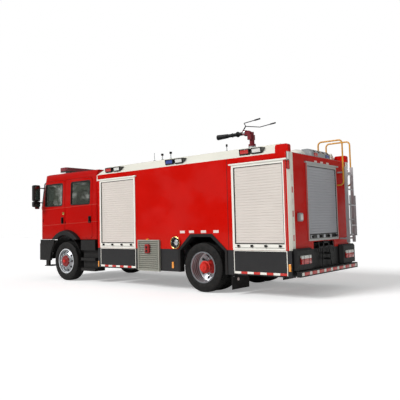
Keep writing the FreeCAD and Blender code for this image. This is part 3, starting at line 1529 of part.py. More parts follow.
def monitor_swivel():
    """Turning elbow: a riser, a bend towards the front and two cheeks for the barrel's trunnions."""
    low = Vector(monitor_x, 0, monitor_swivel_z + seat_gap)
    bend = monitor_elbow_bend
    turn_z = monitor_elbow_z - bend
    collar = rod(monitor_pipe_radius * 1.5, low, low + Vector(0, 0, monitor_flange * 2))
    riser = rod(monitor_pipe_radius, low, Vector(monitor_x, 0, turn_z))
    start = Vector(monitor_x, 0, turn_z)
    middle = Vector(monitor_x - bend + bend * math.cos(math.radians(45)), 0, turn_z + bend * math.sin(math.radians(45)))
    end = Vector(monitor_x - bend, 0, monitor_elbow_z)
    path = Part.Wire([Part.Arc(start, middle, end).toShape()])
    section = Part.Wire([Part.makeCircle(monitor_pipe_radius, start, Vector(0, 0, 1))])
    bent = path.makePipeShell([section], True, True)
    pivot_x = monitor_x - monitor_joint_offset
    inner = monitor_pipe_radius * 1.25 + seat_gap
    pieces = [collar, riser, bent]
    for side in (-1, 1):
        a = side * inner
        b = side * (inner + monitor_cheek)
        y0, y1 = min(a, b), max(a, b)
        cheek = Part.makeCylinder(monitor_pipe_radius, monitor_cheek, Vector(pivot_x, y0, monitor_elbow_z), Vector(0, 1, 0))
        arm = box(pivot_x, monitor_x, y0, y1, monitor_elbow_z - monitor_pipe_radius, monitor_elbow_z + monitor_pipe_radius * 0.4)
        pin = rod(monitor_cheek, Vector(pivot_x, side * (inner - monitor_cheek), monitor_elbow_z), Vector(pivot_x, side * (inner + monitor_cheek), monitor_elbow_z))
        tie = box(monitor_x - monitor_pipe_radius * 1.2, monitor_x + monitor_pipe_radius / 2, min(side * monitor_pipe_radius / 2, b), max(side * monitor_pipe_radius / 2, b), monitor_elbow_z - bend - monitor_pipe_radius, monitor_elbow_z - monitor_pipe_radius)
        pieces += [cheek, arm, pin, tie]
    clear = Part.makeSphere(monitor_pipe_radius * 1.25 + seat_gap, Vector(pivot_x, 0, monitor_elbow_z))
    whole = fused(pieces[:3]).cut(clear)
    return fused([whole] + pieces[3:])


def monitor_barrel():
    """Ball joint, barrel with its nozzle, and the operator's two handles."""
    pivot = Vector(monitor_x - monitor_joint_offset, 0, monitor_elbow_z)
    ball = Part.makeSphere(monitor_pipe_radius * 1.25, pivot)
    tip = Vector(monitor_x - monitor_tip_offset, 0, monitor_elbow_z)
    neck = tip + Vector(monitor_nozzle_length, 0, 0)
    barrel_piece = rod(monitor_barrel_radius, pivot, neck)
    nozzle = Part.makeCone(monitor_nozzle_radius, monitor_nozzle_radius * 0.8, monitor_nozzle_length, tip, Vector(1, 0, 0))
    mid = rod(monitor_nozzle_radius * 0.9, neck + Vector(monitor_nozzle_length, 0, 0), neck + Vector(monitor_nozzle_length * 1.2, 0, 0))
    hub = Vector(pivot.x, 0, pivot.z + handle_rise)
    stem = rod(handle_rod_radius * 1.4, pivot - Vector(handle_foot, 0, 0), hub)
    pieces = [ball, barrel_piece, nozzle, mid, stem]
    for side in (-1, 1):
        knee = hub + Vector(handle_reach * 0.3, side * handle_spread, 0)
        end = hub + Vector(handle_reach, side * handle_spread, handle_rise * 0.25)
        run = end - knee
        start = end - run * (grip_length / run.Length)
        pieces += [rod(handle_rod_radius, hub, knee), Part.makeSphere(handle_rod_radius, knee), rod(handle_rod_radius, knee, end), rod(grip_radius, start, end)]
    whole = fused(pieces)
    for side in (-1, 1):
        socket = rod(monitor_cheek + seat_gap / 3, Vector(pivot.x, side * (monitor_pipe_radius * 1.25 - monitor_cheek), pivot.z), Vector(pivot.x, side * (monitor_pipe_radius * 1.25 + overrun), pivot.z))
        whole = whole.cut(socket)
    bore = rod(monitor_bore_radius, tip, tip + Vector(monitor_bore_length, 0, 0))
    return whole.cut(bore)


# Rear end
def corner_posts():
    x0 = body_rear_x - post_depth
    y0 = -half_width
    y1 = -half_width + post_reach_y
    corners = [(x0, y0, 0), (body_rear_x - post_chamfer, y0, overrun), (body_rear_x, y0 + post_chamfer * 1.4, overrun), (body_rear_x, y1, 0), (x0, y1, 0)]
    post = slab(corners, on_floor(body_floor_z), Vector(0, 0, body_roof_z - body_floor_z))
    return each_solid(both(post))


def tail_boxes():
    start = body_rear_x
    stop = body_rear_x + tail_box_depth
    corners = [(start, tail_box_bottom_z, 0), (start, tail_box_top_z, 0), (stop - tail_box_depth / 3, tail_box_top_z, 0), (stop, tail_box_top_z - tail_box_slope / 2, 0), (stop, tail_box_bottom_z, 0)]
    unit = slab(corners, on_side(-tail_box_outer_y), Vector(0, tail_box_outer_y - tail_box_inner_y, 0))
    bevel = plain([(stop + overrun, -tail_box_inner_y - tail_box_depth), (stop + overrun, -tail_box_inner_y + overrun), (start, -tail_box_inner_y + overrun)])
    unit = unit.cut(slab(bevel, on_floor(tail_box_bottom_z - overrun), Vector(0, 0, tail_box_top_z)))
    return both(unit)


def rear_bumper():
    """Tail lamp boxes on their back plate, the low bar, and the towing jaw on the frame's end."""
    inner = rail_outer_y - rail_wall
    plate = box(body_rear_x - rear_bar_plate, body_rear_x, -tail_box_outer_y, tail_box_outer_y, tail_box_bottom_z, body_floor_z - seat_gap)
    pieces = [plate] + tail_boxes()
    front = body_rear_x + tail_box_depth - rear_bar_plate
    bar = box(front, front + rear_bar_depth - rear_bar_plate, -rear_bar_half, rear_bar_half, rear_bar_low_z, rear_bar_high_z)
    pieces.append(bar)
    for side in (-1, 1):
        y = side * (rail_outer_y - rail_flange / 2)
        y0, y1 = y - rail_flange / 4, y + rail_flange / 4
        arm = plain([(rail_end_x, rail_bottom_z), (rail_end_x, rail_bottom_z + rail_flange), (body_rear_x, rail_bottom_z + rail_flange), (body_rear_x, rear_bar_high_z), (front + overrun, rear_bar_high_z), (front + overrun, rear_bar_low_z), (body_rear_x - rail_flange, rear_bar_low_z)])
        pieces.append(slab(arm, on_side(y0), Vector(0, y1 - y0, 0)))
    half = tow_jaw_width / 2
    for low in (tow_jaw_z - tow_jaw_gap / 2 - tow_ear_height, tow_jaw_z + tow_jaw_gap / 2):
        pieces.append(box(body_rear_x - overrun / 2, body_rear_x + tow_jaw_length, -half, half, low, low + tow_ear_height))
    whole = fused(pieces)
    x = body_rear_x + tow_jaw_length - half
    low = tow_jaw_z - tow_jaw_gap
    return whole.cut(rod(tow_bore_radius, Vector(x, 0, low), Vector(x, 0, tow_jaw_z + tow_jaw_gap)))


ladder_x = body_rear_x + ladder_offset
fold_x = ladder_x + ladder_rail_depth + fold_gap
fold_axis = Vector(fold_x + fold_pin_radius, ladder_y, fold_low_z)


def ladder_rungs(x, low, high, half):
    count = max(int((high - low) / rung_pitch), 1)
    rungs = []
    for i in range(count):
        z = low + (i + 0.5) * (high - low) / count
        rungs.append(rod(rung_radius, Vector(x, ladder_y - half, z), Vector(x, ladder_y + half, z)))
    return rungs


def rear_ladder():
    pieces = []
    for y in (ladder_y - ladder_half, ladder_y + ladder_half - ladder_rail_width):
        pieces.append(box(ladder_x, ladder_x + ladder_rail_depth, y, y + ladder_rail_width, ladder_low_z, ladder_high_z))
        for z in (ladder_low_z + ladder_rail_depth, ladder_high_z - ladder_rail_depth * 2):
            pieces.append(box(body_rear_x, ladder_x, y, y + ladder_rail_width, z, z + ladder_rail_depth / 2))
    pieces += ladder_rungs(ladder_x + ladder_rail_depth / 2, ladder_low_z, ladder_high_z, ladder_half - ladder_rail_width / 2)
    for y in (ladder_y - ladder_half, ladder_y + ladder_half - ladder_rail_width):
        pieces.append(box(ladder_x, fold_axis.x, y, y + ladder_rail_width, fold_low_z - fold_pin_radius, fold_low_z + fold_pin_radius))
        pieces.append(rod(fold_pin_radius, Vector(fold_axis.x, y, fold_low_z), Vector(fold_axis.x, y + ladder_rail_width, fold_low_z)))
    return fused(pieces)


def fold_ladder():
    """Lower ladder section, folded up at rest, on pins inside the upper one's ears."""
    half = ladder_half - ladder_rail_width - seat_gap
    pieces = []
    back = fold_axis.x - fold_pin_radius
    for y in (ladder_y - half, ladder_y + half - ladder_rail_width / 2):
        width = ladder_rail_width / 2
        pieces.append(box(back, back + ladder_rail_depth / 2, y, y + width, fold_low_z, fold_high_z))
        pieces.append(rod(fold_pin_radius, Vector(fold_axis.x, y, fold_low_z), Vector(fold_axis.x, y + width, fold_low_z)))
    pieces += ladder_rungs(back + ladder_rail_depth / 4, fold_low_z, fold_high_z, half - ladder_rail_width / 4)
    return fused(pieces)


def tube(points, radius, bend):
    """Bent tube through points, straight runs joined by tangent arcs."""
    edges = []
    last = points[0]
    for i in range(1, len(points) - 1):
        back = (points[i - 1] - points[i]).normalize()
        ahead = (points[i + 1] - points[i]).normalize()
        half = back.getAngle(ahead) / 2
        reach = bend / math.tan(half)
        crest = points[i] + (back + ahead).normalize() * (bend / math.sin(half) - bend)
        start = points[i] + back * reach
        stop = points[i] + ahead * reach
        edges.append(Part.LineSegment(last, start).toShape())
        edges.append(Part.Arc(start, crest, stop).toShape())
        last = stop
    edges.append(Part.LineSegment(last, points[-1]).toShape())
    path = Part.Wire(edges)
    run = (points[1] - points[0]).normalize()
    section = Part.Wire([Part.makeCircle(radius, points[0], run)])
    return path.makePipeShell([section], True, True)


def handrails():
    rails = []
    out = body_rear_x + rail_stand_off
    front = body_rear_x + rail_stand_off - rail_forward
    for y, foot_z in ((rail_inner_y, body_roof_z), (rail_outer_end_y, fairing_top_z)):
        points = [
            Vector(body_rear_x, y, rail_foot_low_z), Vector(out, y, rail_foot_low_z),
            Vector(out, y, rail_top_high_z), Vector(front, y, rail_top_high_z), Vector(front, y, foot_z),
        ]
        rails.append(tube(points, rail_radius, rail_bend))
    return each_solid(rails)


def build():
    os.makedirs("parts", exist_ok=True)
    export("chassis_frame", chassis_frame())
    export("tanks_and_bottles", tanks_and_bottles())
    export("front_axle", front_axle())
    export("rear_axle", rear_axle())
    export("powertrain", powertrain())
    export("front_bumper", front_bumper())
    export("cab_steps", cab_steps())
    export("body_shell", body_shell())
    export("shutters", shutters())
    export("shutter_frames", shutter_frames())
    export("skirts", skirts())
    export("wheel_guards", wheel_guards())
    export("louvred_guards", each_solid(both(louvred_guard())))
    export("hose_inlets", each_solid(both(hose_inlet())))
    export("roof_fairing", roof_fairing())
    export("lamps", lamps())
    export("roof_fittings", roof_fittings())
    export("corner_posts", corner_posts())
    export("rear_bumper", rear_bumper())
    export("rear_ladder", rear_ladder())
    export("fold_ladder", fold_ladder())
    export("handrails", handrails())
    export("monitor_swivel", monitor_swivel())
    export("monitor_barrel", monitor_barrel())
    export("cab_shell", cab_shell())
    export("cab_glass", cab_glass())
    export("cab_trim", cab_trim())
    export("seats", seats())
    export("dashboard", dashboard())
    export("mirrors", mirrors())
    export("beacon_bar", beacon_bar())
    for i, x in enumerate(manhole_places):
        export("manhole_lid_" + str(i + 1), manhole_lid(front_axle_x + x))
    for side, name in ((-1, "left"), (1, "right")):
        export("step_flap_front_" + name, step_flap(front_shutter_x, shutter_width, side))
        export("step_flap_rear_" + name, step_flap(rear_shutter_x, rear_side_width, side))
        export("knuckle_" + name, knuckle(side))
        export("tyre_front_" + name, tyre(front_axle_x, side * front_wheel_y))
        export("rim_front_" + name, front_rim(side))
        export("tyres_rear_" + name, rear_tyres(side))
        export("rims_rear_" + name, rear_rims(side))
        for row in ("front", "rear"):
            export("door_" + row + "_" + name, door(row, side))
            export("door_glass_" + row + "_" + name, door_glass(row, side))


build()
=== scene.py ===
import math

import bmesh
import bpy
import numpy as np
from mathutils import Matrix, Vector


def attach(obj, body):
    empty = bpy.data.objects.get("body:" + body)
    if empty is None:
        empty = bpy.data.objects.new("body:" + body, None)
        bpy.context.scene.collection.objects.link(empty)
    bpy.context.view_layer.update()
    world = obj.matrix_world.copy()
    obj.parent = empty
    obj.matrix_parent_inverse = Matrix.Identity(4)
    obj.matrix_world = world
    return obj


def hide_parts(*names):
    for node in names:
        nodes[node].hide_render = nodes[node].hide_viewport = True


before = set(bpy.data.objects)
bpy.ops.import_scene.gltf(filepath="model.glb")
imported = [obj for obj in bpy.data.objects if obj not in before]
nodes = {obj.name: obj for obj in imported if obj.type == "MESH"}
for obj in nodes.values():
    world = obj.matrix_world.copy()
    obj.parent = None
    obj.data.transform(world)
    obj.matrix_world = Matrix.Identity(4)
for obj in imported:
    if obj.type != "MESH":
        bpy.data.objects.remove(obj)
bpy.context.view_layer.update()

scene = bpy.context.scene

# Directions, and the vehicle's four corners with the ends of their names
forward, backward, upward, downward = (-1, 0, 0), (1, 0, 0), (0, 0, 1), (0, 0, -1)
sides = ((-1, "left"), (1, "right"))
corners = [(row, side, row + "_" + name) for row in ("front", "rear") for side, name in sides]

# Fixed places on the fire engine, in metres, as in the CAD frame
place = {
    "frontAxleX": -2.750, "rearAxleX": 1.750, "axleZ": 0.490, "frontWheelY": 1.052, "rearOuterY": 1.074,
    "rearInnerY": 0.746, "bodyRearX": 3.760, "behind": 4.3, "ahead": -4.6, "halfWidth": 1.250,
    "cabHalfWidth": 1.150, "cabFrontX": -4.018, "frontShutter": (-1.299, 1.205),
    "rearShutter": (2.541, 1.142),
}


def linear(rgb):
    # sRGB 0-255 to the linear colour that the shaders take
    c = np.array(rgb, float) / 255.0
    return tuple(np.where(c <= 0.04045, c / 12.92, ((c + 0.055) / 1.055) ** 2.4)) + (1.0,)


colors = {
    "bodyRed": (192, 8, 0), "cabRed": (173, 8, 4), "cream": (230, 228, 216), "trimWhite": (232, 230, 222),
    "slat": (210, 202, 195), "shadedRearSlat": (164, 165, 171), "rearFrame": (176, 176, 174),
    "louvre": (152, 152, 142), "skirt": (34, 34, 36), "blackPlastic": (16, 15, 16),
    "blackSteel": (14, 14, 16), "rubber": (17, 16, 16), "scuff": (44, 42, 39), "aluminium": (176, 178, 182),
    "ladder": (178, 178, 180), "rim": (205, 207, 210), "rimDisc": (168, 170, 174),
    "rollLow": (122, 124, 128), "rollHigh": (222, 224, 227), "gold": (214, 178, 104),
    "hubRed": (128, 16, 18), "hubBright": (206, 36, 26), "yellow": (212, 150, 52),
    "monitorRed": (118, 20, 34), "beaconRed": (128, 20, 42), "amber": (232, 142, 40),
    "lensRed": (176, 18, 16), "lensBlue": (26, 52, 128), "lensClear": (206, 206, 200),
    "lampGrey": (150, 153, 156), "bowlMiddle": (240, 240, 236), "bowlEdge": (128, 130, 132),
    "bowlRim": (40, 40, 42), "seat": (50, 52, 58), "dash": (40, 40, 43), "liner": (96, 95, 92),
    "tapeRed": (196, 34, 22), "tapePearl": (226, 208, 202), "fitting": (150, 26, 26),
    "greyCase": (150, 152, 154), "mirror": (92, 104, 100), "glass": (128, 134, 126), "seam": (60, 8, 6),
    "gleam": (236, 128, 108), "roadDust": (120, 84, 66), "paleDust": (92, 88, 82), "greyDust": (84, 80, 74),
}
colors = {name: linear(rgb) for name, rgb in colors.items()}


def shade(name, factor, lift=0.0):
    return tuple(min(c * factor + lift, 1.0) for c in colors[name][:3]) + (1.0,)


def feed(socket, value):
    # join an input to a value of its tree, or set it to a number or to a colour by its name
    if isinstance(value, Value):
        socket.id_data.links.new(value.socket, socket)
    else:
        socket.default_value = colors[value] if isinstance(value, str) else value


def node(tree, kind, given=(), out=0, **settings):
    # one output of a new node whose inputs are fed with what is given
    made = tree.nodes.new("ShaderNode" + kind)
    for key, value in settings.items():
        setattr(made, key, value)
    for key, value in dict(given).items():
        feed(made.inputs[key], value)
    return Value(made.outputs[out])


def calc(operation, *operands, clamp=False):
    tree = next(v for v in operands if isinstance(v, Value)).socket.id_data
    return node(tree, "Math", enumerate(operands), operation=operation, use_clamp=clamp)


def arithmetic(operation, swapped=False):
    # a Math node as a method of its first operand, or of its second
    def apply(value, other=0.0):
        return calc(operation, other, value) if swapped else calc(operation, value, other)
    return apply


class Value:
    # an output in a node tree, which takes ordinary arithmetic by way of more nodes; | is the larger of two
    def __init__(self, socket):
        self.socket = socket

    __add__, __mul__, __sub__ = arithmetic("ADD"), arithmetic("MULTIPLY"), arithmetic("SUBTRACT")
    __rsub__, __or__ = arithmetic("SUBTRACT", True), arithmetic("MAXIMUM")
    __lt__, __abs__ = arithmetic("LESS_THAN"), arithmetic("ABSOLUTE")

    def wave(self, rate):
        return calc("SINE", self * rate)

    def distance(self, other):
        return calc("SQRT", self * self + other * other)

    def above(self, limit, soft=0.001):
        # 0 up to the limit, then rising to 1 over the soft width
        return calc("MULTIPLY_ADD", self, 1 / soft, -limit / soft, clamp=True)

    def within(self, low, high, soft=0.001):
        # 1 between low and high, falling to 0 over the soft width
        return self.above(low, soft) * calc("MULTIPLY_ADD", self, -1 / soft, high / soft, clamp=True)

    def remap(self, low, high, newLow=0.0, newHigh=1.0, kind="LINEAR"):
        given = enumerate((self, low, high, newLow, newHigh))
        return node(self.socket.id_data, "MapRange", given, interpolation_type=kind)

    def blend(self, a, b):
        # colour a where the value is 0, colour b where it is 1
        return node(self.socket.id_data, "Mix", {"Factor": self, 6: a, 7: b}, 2, data_type="RGBA")


class Finish:
    # a Principled material; now holds what each of its inputs was last set to
    def __init__(self, name, rough=0.5, metal=0.0, coat=0.0, coatRough=0.06, specular=0.5):
        self.mat = bpy.data.materials.new(name)
        self.mat.use_nodes = True
        self.tree = self.mat.node_tree
        self.now = {}
        for key, value in (("Roughness", rough), ("Metallic", metal), ("Coat Weight", coat),
                           ("Coat Roughness", coatRough), ("Specular IOR Level", specular)):
            self.set(key, value)
        self.coords = node(self.tree, "TexCoord", out="Object")
        split = self.tree.nodes.new("ShaderNodeSeparateXYZ")
        feed(split.inputs[0], self.coords)
        self.x, self.y, self.z = (Value(socket) for socket in split.outputs)

    def set(self, name, value):
        feed(self.tree.nodes["Principled BSDF"].inputs[name], value)
        self.now[name] = value

    def color(self, value):
        self.set("Base Color", value)

    def overlay(self, mask, value):
        self.color(mask.blend(self.now["Base Color"], value))

    def wear(self, value, low, high):
        self.set("Roughness", value.remap(0.3, 0.7, low, high))

    def noise(self, scale, detail=3.0, rough=0.5, stretch=None):
        source = self.coords
        if stretch:
            source = node(self.tree, "Mapping", {"Vector": source, "Scale": stretch})
        given = {"Vector": source, "Scale": scale, "Detail": detail, "Roughness": rough}
        return node(self.tree, "TexNoise", given, "Fac")

    def bump(self, height, strength, distance):
        given = {"Strength": strength, "Distance": distance, "Height": height}
        if "Normal" in self.now:
            given["Normal"] = self.now["Normal"]
        self.set("Normal", node(self.tree, "Bump", given))

    def varied(self, name, amount, scale):
        # a colour with patches that are a little darker and lighter
        return self.noise(scale, 4.0).remap(0.3, 0.7).blend(shade(name, 1 - amount), shade(name, 1 + amount))


# Camera, at the angle and distance that the photograph was taken from
camera = {
    "at": (8.146, -9.004, 1.324), "yaw": 40.209, "pitch": 3.877, "roll": -1.334, "lens": 45.808,
    "shift": (0.01686, -0.0236),
}


def placeCamera():
    yaw, pitch, roll = (math.radians(camera[k]) for k in ("yaw", "pitch", "roll"))
    ahead = Vector((-math.sin(yaw) * math.cos(pitch), math.cos(yaw) * math.cos(pitch), math.sin(pitch)))
    right = Vector((math.cos(yaw), math.sin(yaw), 0))
    up = right.cross(ahead)
    side = right * math.cos(roll) + up * math.sin(roll)
    rise = up * math.cos(roll) - right * math.sin(roll)
    data = bpy.data.cameras.new("camera")
    data.sensor_width = 36
    data.lens = camera["lens"]
    data.shift_x, data.shift_y = camera["shift"]
    data.clip_end = 200
    scene.camera = bpy.data.objects.new("camera", data)
    scene.collection.objects.link(scene.camera)
    turn = Matrix((side, rise, -ahead)).transposed().to_4x4()
    scene.camera.matrix_world = Matrix.Translation(camera["at"]) @ turn


studio = {
    "ambient": 0.32, "white": (1, 1, 1, 1), "floor": (0.93, 0.93, 0.93, 1), "floorGlow": 0.30,
    "floorReach": 60.0, "leaves": {"Scale": 9.0, "Detail": 10.0, "Roughness": 0.76},
    "leafEdge": (0.46, 0.58), "treeTop": (0.16, 0.30), "leafDark": (0.10, 0.11, 0.06, 1),
    "leafLight": (4.2, 4.3, 4.1, 1),
    "suns": (("keyLight", (-0.45, -1.0, 0.80), 2.45, 24), ("fillLight", (1.0, 0.5, 0.9), 0.10, 60)),
}


def treeLine(tree):
    # a mottled band of trees and sky just over the horizon, for glass and gloss to mirror, under an even sky
    def ramp(value, edge):
        return value.remap(*studio[edge], kind="SMOOTHSTEP")

    toward = node(tree, "TexCoord", out="Generated")
    leaves = node(tree, "TexNoise", {"Vector": toward, **studio["leaves"]}, "Fac")
    tone = ramp(leaves, "leafEdge").blend(studio["leafDark"], studio["leafLight"])
    height = node(tree, "SeparateXYZ", {0: toward}, "Z")
    return ramp(height, "treeTop").blend(tone, studio["white"])


def buildStudio():
    # white where the camera looks straight or through glass; the tree line and soft sky light and mirror
    scene.world = bpy.data.worlds.new("studio")
    scene.world.use_nodes = True
    tree = scene.world.node_tree
    tree.nodes.clear()
    seen = node(tree, "LightPath", out="Is Camera Ray") | node(tree, "LightPath", out="Is Transmission Ray")
    sky = node(tree, "Background", {"Color": treeLine(tree), "Strength": studio["ambient"]})
    white = node(tree, "Background", {"Color": studio["white"], "Strength": 1.0})
    whole = node(tree, "MixShader", {0: seen, 1: sky, 2: white})
    feed(tree.nodes.new("ShaderNodeOutputWorld").inputs["Surface"], whole)
    for name, source, strength, angle in studio["suns"]:
        data = bpy.data.lights.new(name, "SUN")
        data.energy, data.angle = strength, math.radians(angle)
        lamp = bpy.data.objects.new(name, data)
        lamp.rotation_euler = Vector(source).to_track_quat("Z", "Y").to_euler()
        scene.collection.objects.link(lamp)
    # the floor reads as a white page to the camera and still takes the shadow
    r = studio["floorReach"]
    mesh = bpy.data.meshes.new("floor")
    mesh.from_pydata([(-r, -r, 0), (r, -r, 0), (r, r, 0), (-r, r, 0)], [], [(0, 1, 2, 3)])
    floor = bpy.data.objects.new("floor", mesh)
    scene.collection.objects.link(floor)
    paint = Finish("studioFloor", rough=0.9)
    paint.color(studio["floor"])
    paint.set("Emission Color", studio["white"])
    paint.set("Emission Strength", node(paint.tree, "LightPath", out="Is Camera Ray") * studio["floorGlow"])
    mesh.materials.append(paint.mat)
    scene.view_settings.view_transform = "Standard"


# How each kind of coat weathers: dust by height, its scale and colour, the scale of patches in the paint,
# uneven roughness round the mean, and the strength and depth of the grain
coats = {
    "gloss": {"dust": (0.9, 1.35, 0.16, 0.0), "speck": 7.0, "soil": "roadDust", "patch": 1.6,
              "wear": (26.0, 3.0), "spread": (-0.07, 0.02), "grain": (0.03, 0.0003)},
    "plain": {"dust": (0.2, 1.1, 0.12, 0.0), "speck": 9.0, "soil": "paleDust", "patch": 2.2,
              "wear": (34.0, 3.0), "spread": (-0.06, 0.08), "grain": (0.04, 0.0003)},
    "moulded": {"dust": (0.2, 1.2, 0.16, 0.03), "speck": 8.0, "soil": "greyDust", "patch": 5.0,
                "wear": (14.0, 4.0), "spread": (-0.08, 0.10), "grain": (0.22, 0.0006)},
}


# Numbers of the finishes: a patch is its amount and scale, a wear the roughness from and to, a relief its
# strength and depth, a tone the waves that it spans and the shares of colour that they give
looks = {
    "metalPatch": (0.08, 4.0), "streak": (40.0, 4.0, 0.6), "metalSpread": (-0.1, 0.14),
    "metalRelief": (0.12, 0.0006), "deckMetal": 0.8, "deckRough": 0.28, "treadRelief": (0.4, 0.002),
    "jointRelief": (0.6, 0.003), "slatPatch": (0.03, 1.5), "shadedRearSlatPatch": (0.04, 1.5),
    "slatStreak": (3.0, 4.0, 0.5, (1, 1, 12)), "slatWear": (0.36, 0.5),
    "slatGrain": (60.0, 3.0, 0.5, (1, 1, 8)), "slatRelief": (0.05, 0.001), "creaseDepth": 0.006,
    "paintedHighlightShare": 0.5, "discPatch": (0.10, 6.0), "rollLightBands": (-0.3, 0.7),
    "hubPatches": (("hubRed", 0.15, 12.0), ("hubBright", 0.1, 12.0)), "barrelDull": 0.45,
    "rimGrain": (16.0, 5.0), "rimWear": (0.26, 0.42), "hubRough": 0.15, "barrelRough": 0.16,
    "barrelRelief": (0.5, 0.004), "turnedRelief": (0.05, 0.0003), "lampRelief": (0.12, 0.0008),
    "beaconPatch": (0.1, 6.0), "beaconRelief": (0.15, 0.001), "glassReflectionMottle": (0.06, 1.2), "cells": 520.0,
    "cellTone": (-0.6, 0.9, 0.0, 0.35), "cellShade": (1.7, 0.03), "cellRelief": (0.15, 0.0008),
    "prisms": 170.0, "prismTone": (0.0, 0.12, 0.8, 1.0), "prismShade": 0.82, "prismRelief": (0.12, 0.0006),
    "sheen": 0.25, "threads": 1500.0, "threadTone": (-0.5, 0.8, 0.0, 0.5), "clothPatch": (0.15, 9.0),
    "threadShade": (1.6, 0.01), "threadRelief": (0.3, 0.0008), "scuffGrain": (9.0, 5.0),
    "scuffTone": (0.35, 0.7, 0.0, 0.4), "tyreGrain": (30.0, 4.0), "tyreWear": (0.62, 0.85),
    "tyreSpeck": (190.0, 2.0), "tyreRelief": (0.25, 0.0006),
}


def weathered(name, kind, base, rough, amount, grain=90.0, **gloss):
    c = coats[kind]
    f = Finish(name, rough, **gloss)
    dust = f.z.remap(*c["dust"]) * f.noise(c["speck"], 5.0)
    f.color(dust.blend(f.varied(base, amount, c["patch"]), c["soil"]))
    f.wear(f.noise(*c["wear"]), *(rough + spread for spread in c["spread"]))
    f.bump(f.noise(grain, 2.0), *c["grain"])
    return f


def paintRed(name, base):
    return weathered(name, "gloss", base, 0.34, 0.05, coat=0.13, coatRough=0.03, specular=0.05)


def paintPlain(name, base, rough=0.4, coat=0.12, amount=0.05):
    return weathered(name, "plain", base, rough, amount, coat=coat, specular=0.25)


def paintPale(name, base):
    return paintPlain(name, base, 0.36, 0.12, 0.03)


def moulded(name, base, rough=0.55, grain=420.0):
    return weathered(name, "moulded", base, rough, 0.12, grain, specular=0.25)


def bareMetal(name, base, rough):
    f = Finish(name, rough, metal=1.0)
    f.color(f.varied(base, *looks["metalPatch"]))
    streak = f.noise(*looks["streak"])
    f.wear(streak, *(rough + spread for spread in looks["metalSpread"]))
    f.bump(streak, *looks["metalRelief"])
    return f


# Where the colour changes within a CAD node, in metres, and the rates of its ribs and treads
masks = {
    "seams": ((2.4295, 2.4345), (-0.0325, -0.0285)), "seamSoft": 0.0012, "archX": (1.02, 2.48),
    "archTop": 1.17, "skin": 1.2485, "skinSoft": 0.0005, "gripRate": 24.0, "gripStart": 1.57,
    "gripEdge": (0.55, 0.02), "creaseFoot": (-0.004, 0.008), "creaseTop": (0.012, 0.050),
    "creaseHighlightBand": (-0.004, 0.006, 0.004), "lampRibs": 420.0, "beaconRibs": 300.0, "floorZ": 0.8430,
    "deckFoot": 2.556, "deckTop": 2.566, "deckHalf": 1.06, "treads": 150.0, "shadedSlatX": 3.70,
    "rearFrameX": 3.755, "liftBar": (1.033, 1.092), "barHalf": 0.592, "frameEdge": (0.614, 0.6405),
    "frameTop": 2.4095, "flankEdge": (3.660, 3.6835), "flankTop": 2.4235, "postX": 3.724, "flank": 1.2,
    "creaseX": (-3.95, -1.60), "creaseFlank": 1.10, "creases": ((1.815, 1.884, 0.9), (1.394, 1.467, 1.0)),
    "gripY": (1.1503, 0.0004), "gripZ": (1.44, 1.60), "doorInner": 1.095, "doorLining": 1.86, "belt": 1.850,
    "screenLean": 0.2083, "linerX": 3.788, "linerY": 0.920, "linerCorner": 0.182, "linerHalf": 1.075,
    "linerTop": 2.70, "linerBack": -1.61, "hub": (0.1425, 0.0008), "barrel": (0.262, 0.002), "steps": 118.0,
    "turned": 2600.0, "tailLine": 0.715, "bowlZ": 0.690, "bowls": ((0.826, 0.062), (0.970, 0.066)),
    "bowlDeep": 0.012, "bowlRim": 0.006, "headlampX": -3.9, "rearLampX": 3.4, "roofLampZ": 2.5,
    "beaconZ": 2.875,
}


def paintBodyShell():
    # red walls with joint lines, black inside the arches and below the floor line, a tread-plate deck on the
    # roof
    f, m = paintRed("bodyRedPaint", "bodyRed"), masks
    x, out, z = f.x, abs(f.y), f.z
    joints = [x.within(*span, m["seamSoft"]) for span in m["seams"]]
    seam = (joints[0] | joints[1]) * out.above(m["flank"])
    f.overlay(seam, "seam")
    arch = x.within(*m["archX"]) * (z < m["archTop"]) * (out < m["skin"])
    f.overlay(arch | (z < m["floorZ"]), "blackPlastic")
    deck = z.above(m["deckFoot"]) * out.within(-1.0, m["deckHalf"]) * (z < m["deckTop"])
    f.overlay(deck, "aluminium")
    f.set("Metallic", deck * looks["deckMetal"])
    f.set("Roughness", deck * looks["deckRough"] + f.now["Roughness"])
    treads = (x + f.y).wave(m["treads"]) * (x - f.y).wave(m["treads"])
    f.bump(treads * deck, *looks["treadRelief"])
    f.bump(seam * -1.0, *looks["jointRelief"])
    return f


def paintShutters():
    # pale slats, with a darker grey at the back painted as the shade on the rear face
    f = Finish("slatFinish", rough=0.42, coat=0.15)
    side, rear = f.varied("slat", *looks["slatPatch"]), f.varied("shadedRearSlat", *looks["shadedRearSlatPatch"])
    # the back's slats take a darker copy of the slat colour as painted shade
    f.color(f.x.above(masks["shadedSlatX"]).blend(side, rear))
    f.wear(f.noise(*looks["slatStreak"]), *looks["slatWear"])
    f.bump(f.noise(*looks["slatGrain"]), *looks["slatRelief"])
    return f


def paintFrames():
    # white at the sides; at the back grey with a dark lift bar and bright grips, and red outer edges, so that
    # the frames read as thin as they are
    f, m = paintPale("framePaint", "trimWhite"), masks
    out, z = abs(f.y), f.z
    rear = f.x.above(m["rearFrameX"])
    grips = calc("SINE", f.y * m["gripRate"] + m["gripStart"]).above(*m["gripEdge"])
    grips = grips.blend("blackPlastic", "aluminium")
    bar = z.within(*m["liftBar"]) * (out < m["barHalf"])
    f.overlay(rear, bar.blend("rearFrame", grips))
    edge = rear * out.within(*m["frameEdge"]) * (z < m["frameTop"])
    flank = f.x.within(*m["flankEdge"]) * out.above(m["flank"]) * (z < m["flankTop"])
    f.overlay(edge | flank, "bodyRed")
    return f


def paintPosts():
    # cream on the bevel and the back, red on the flank
    f = paintPale("postPaint", "cream")
    f.overlay(abs(f.y).above(masks["skin"], masks["skinSoft"]) * (f.x < masks["postX"]), "bodyRed")
    return f


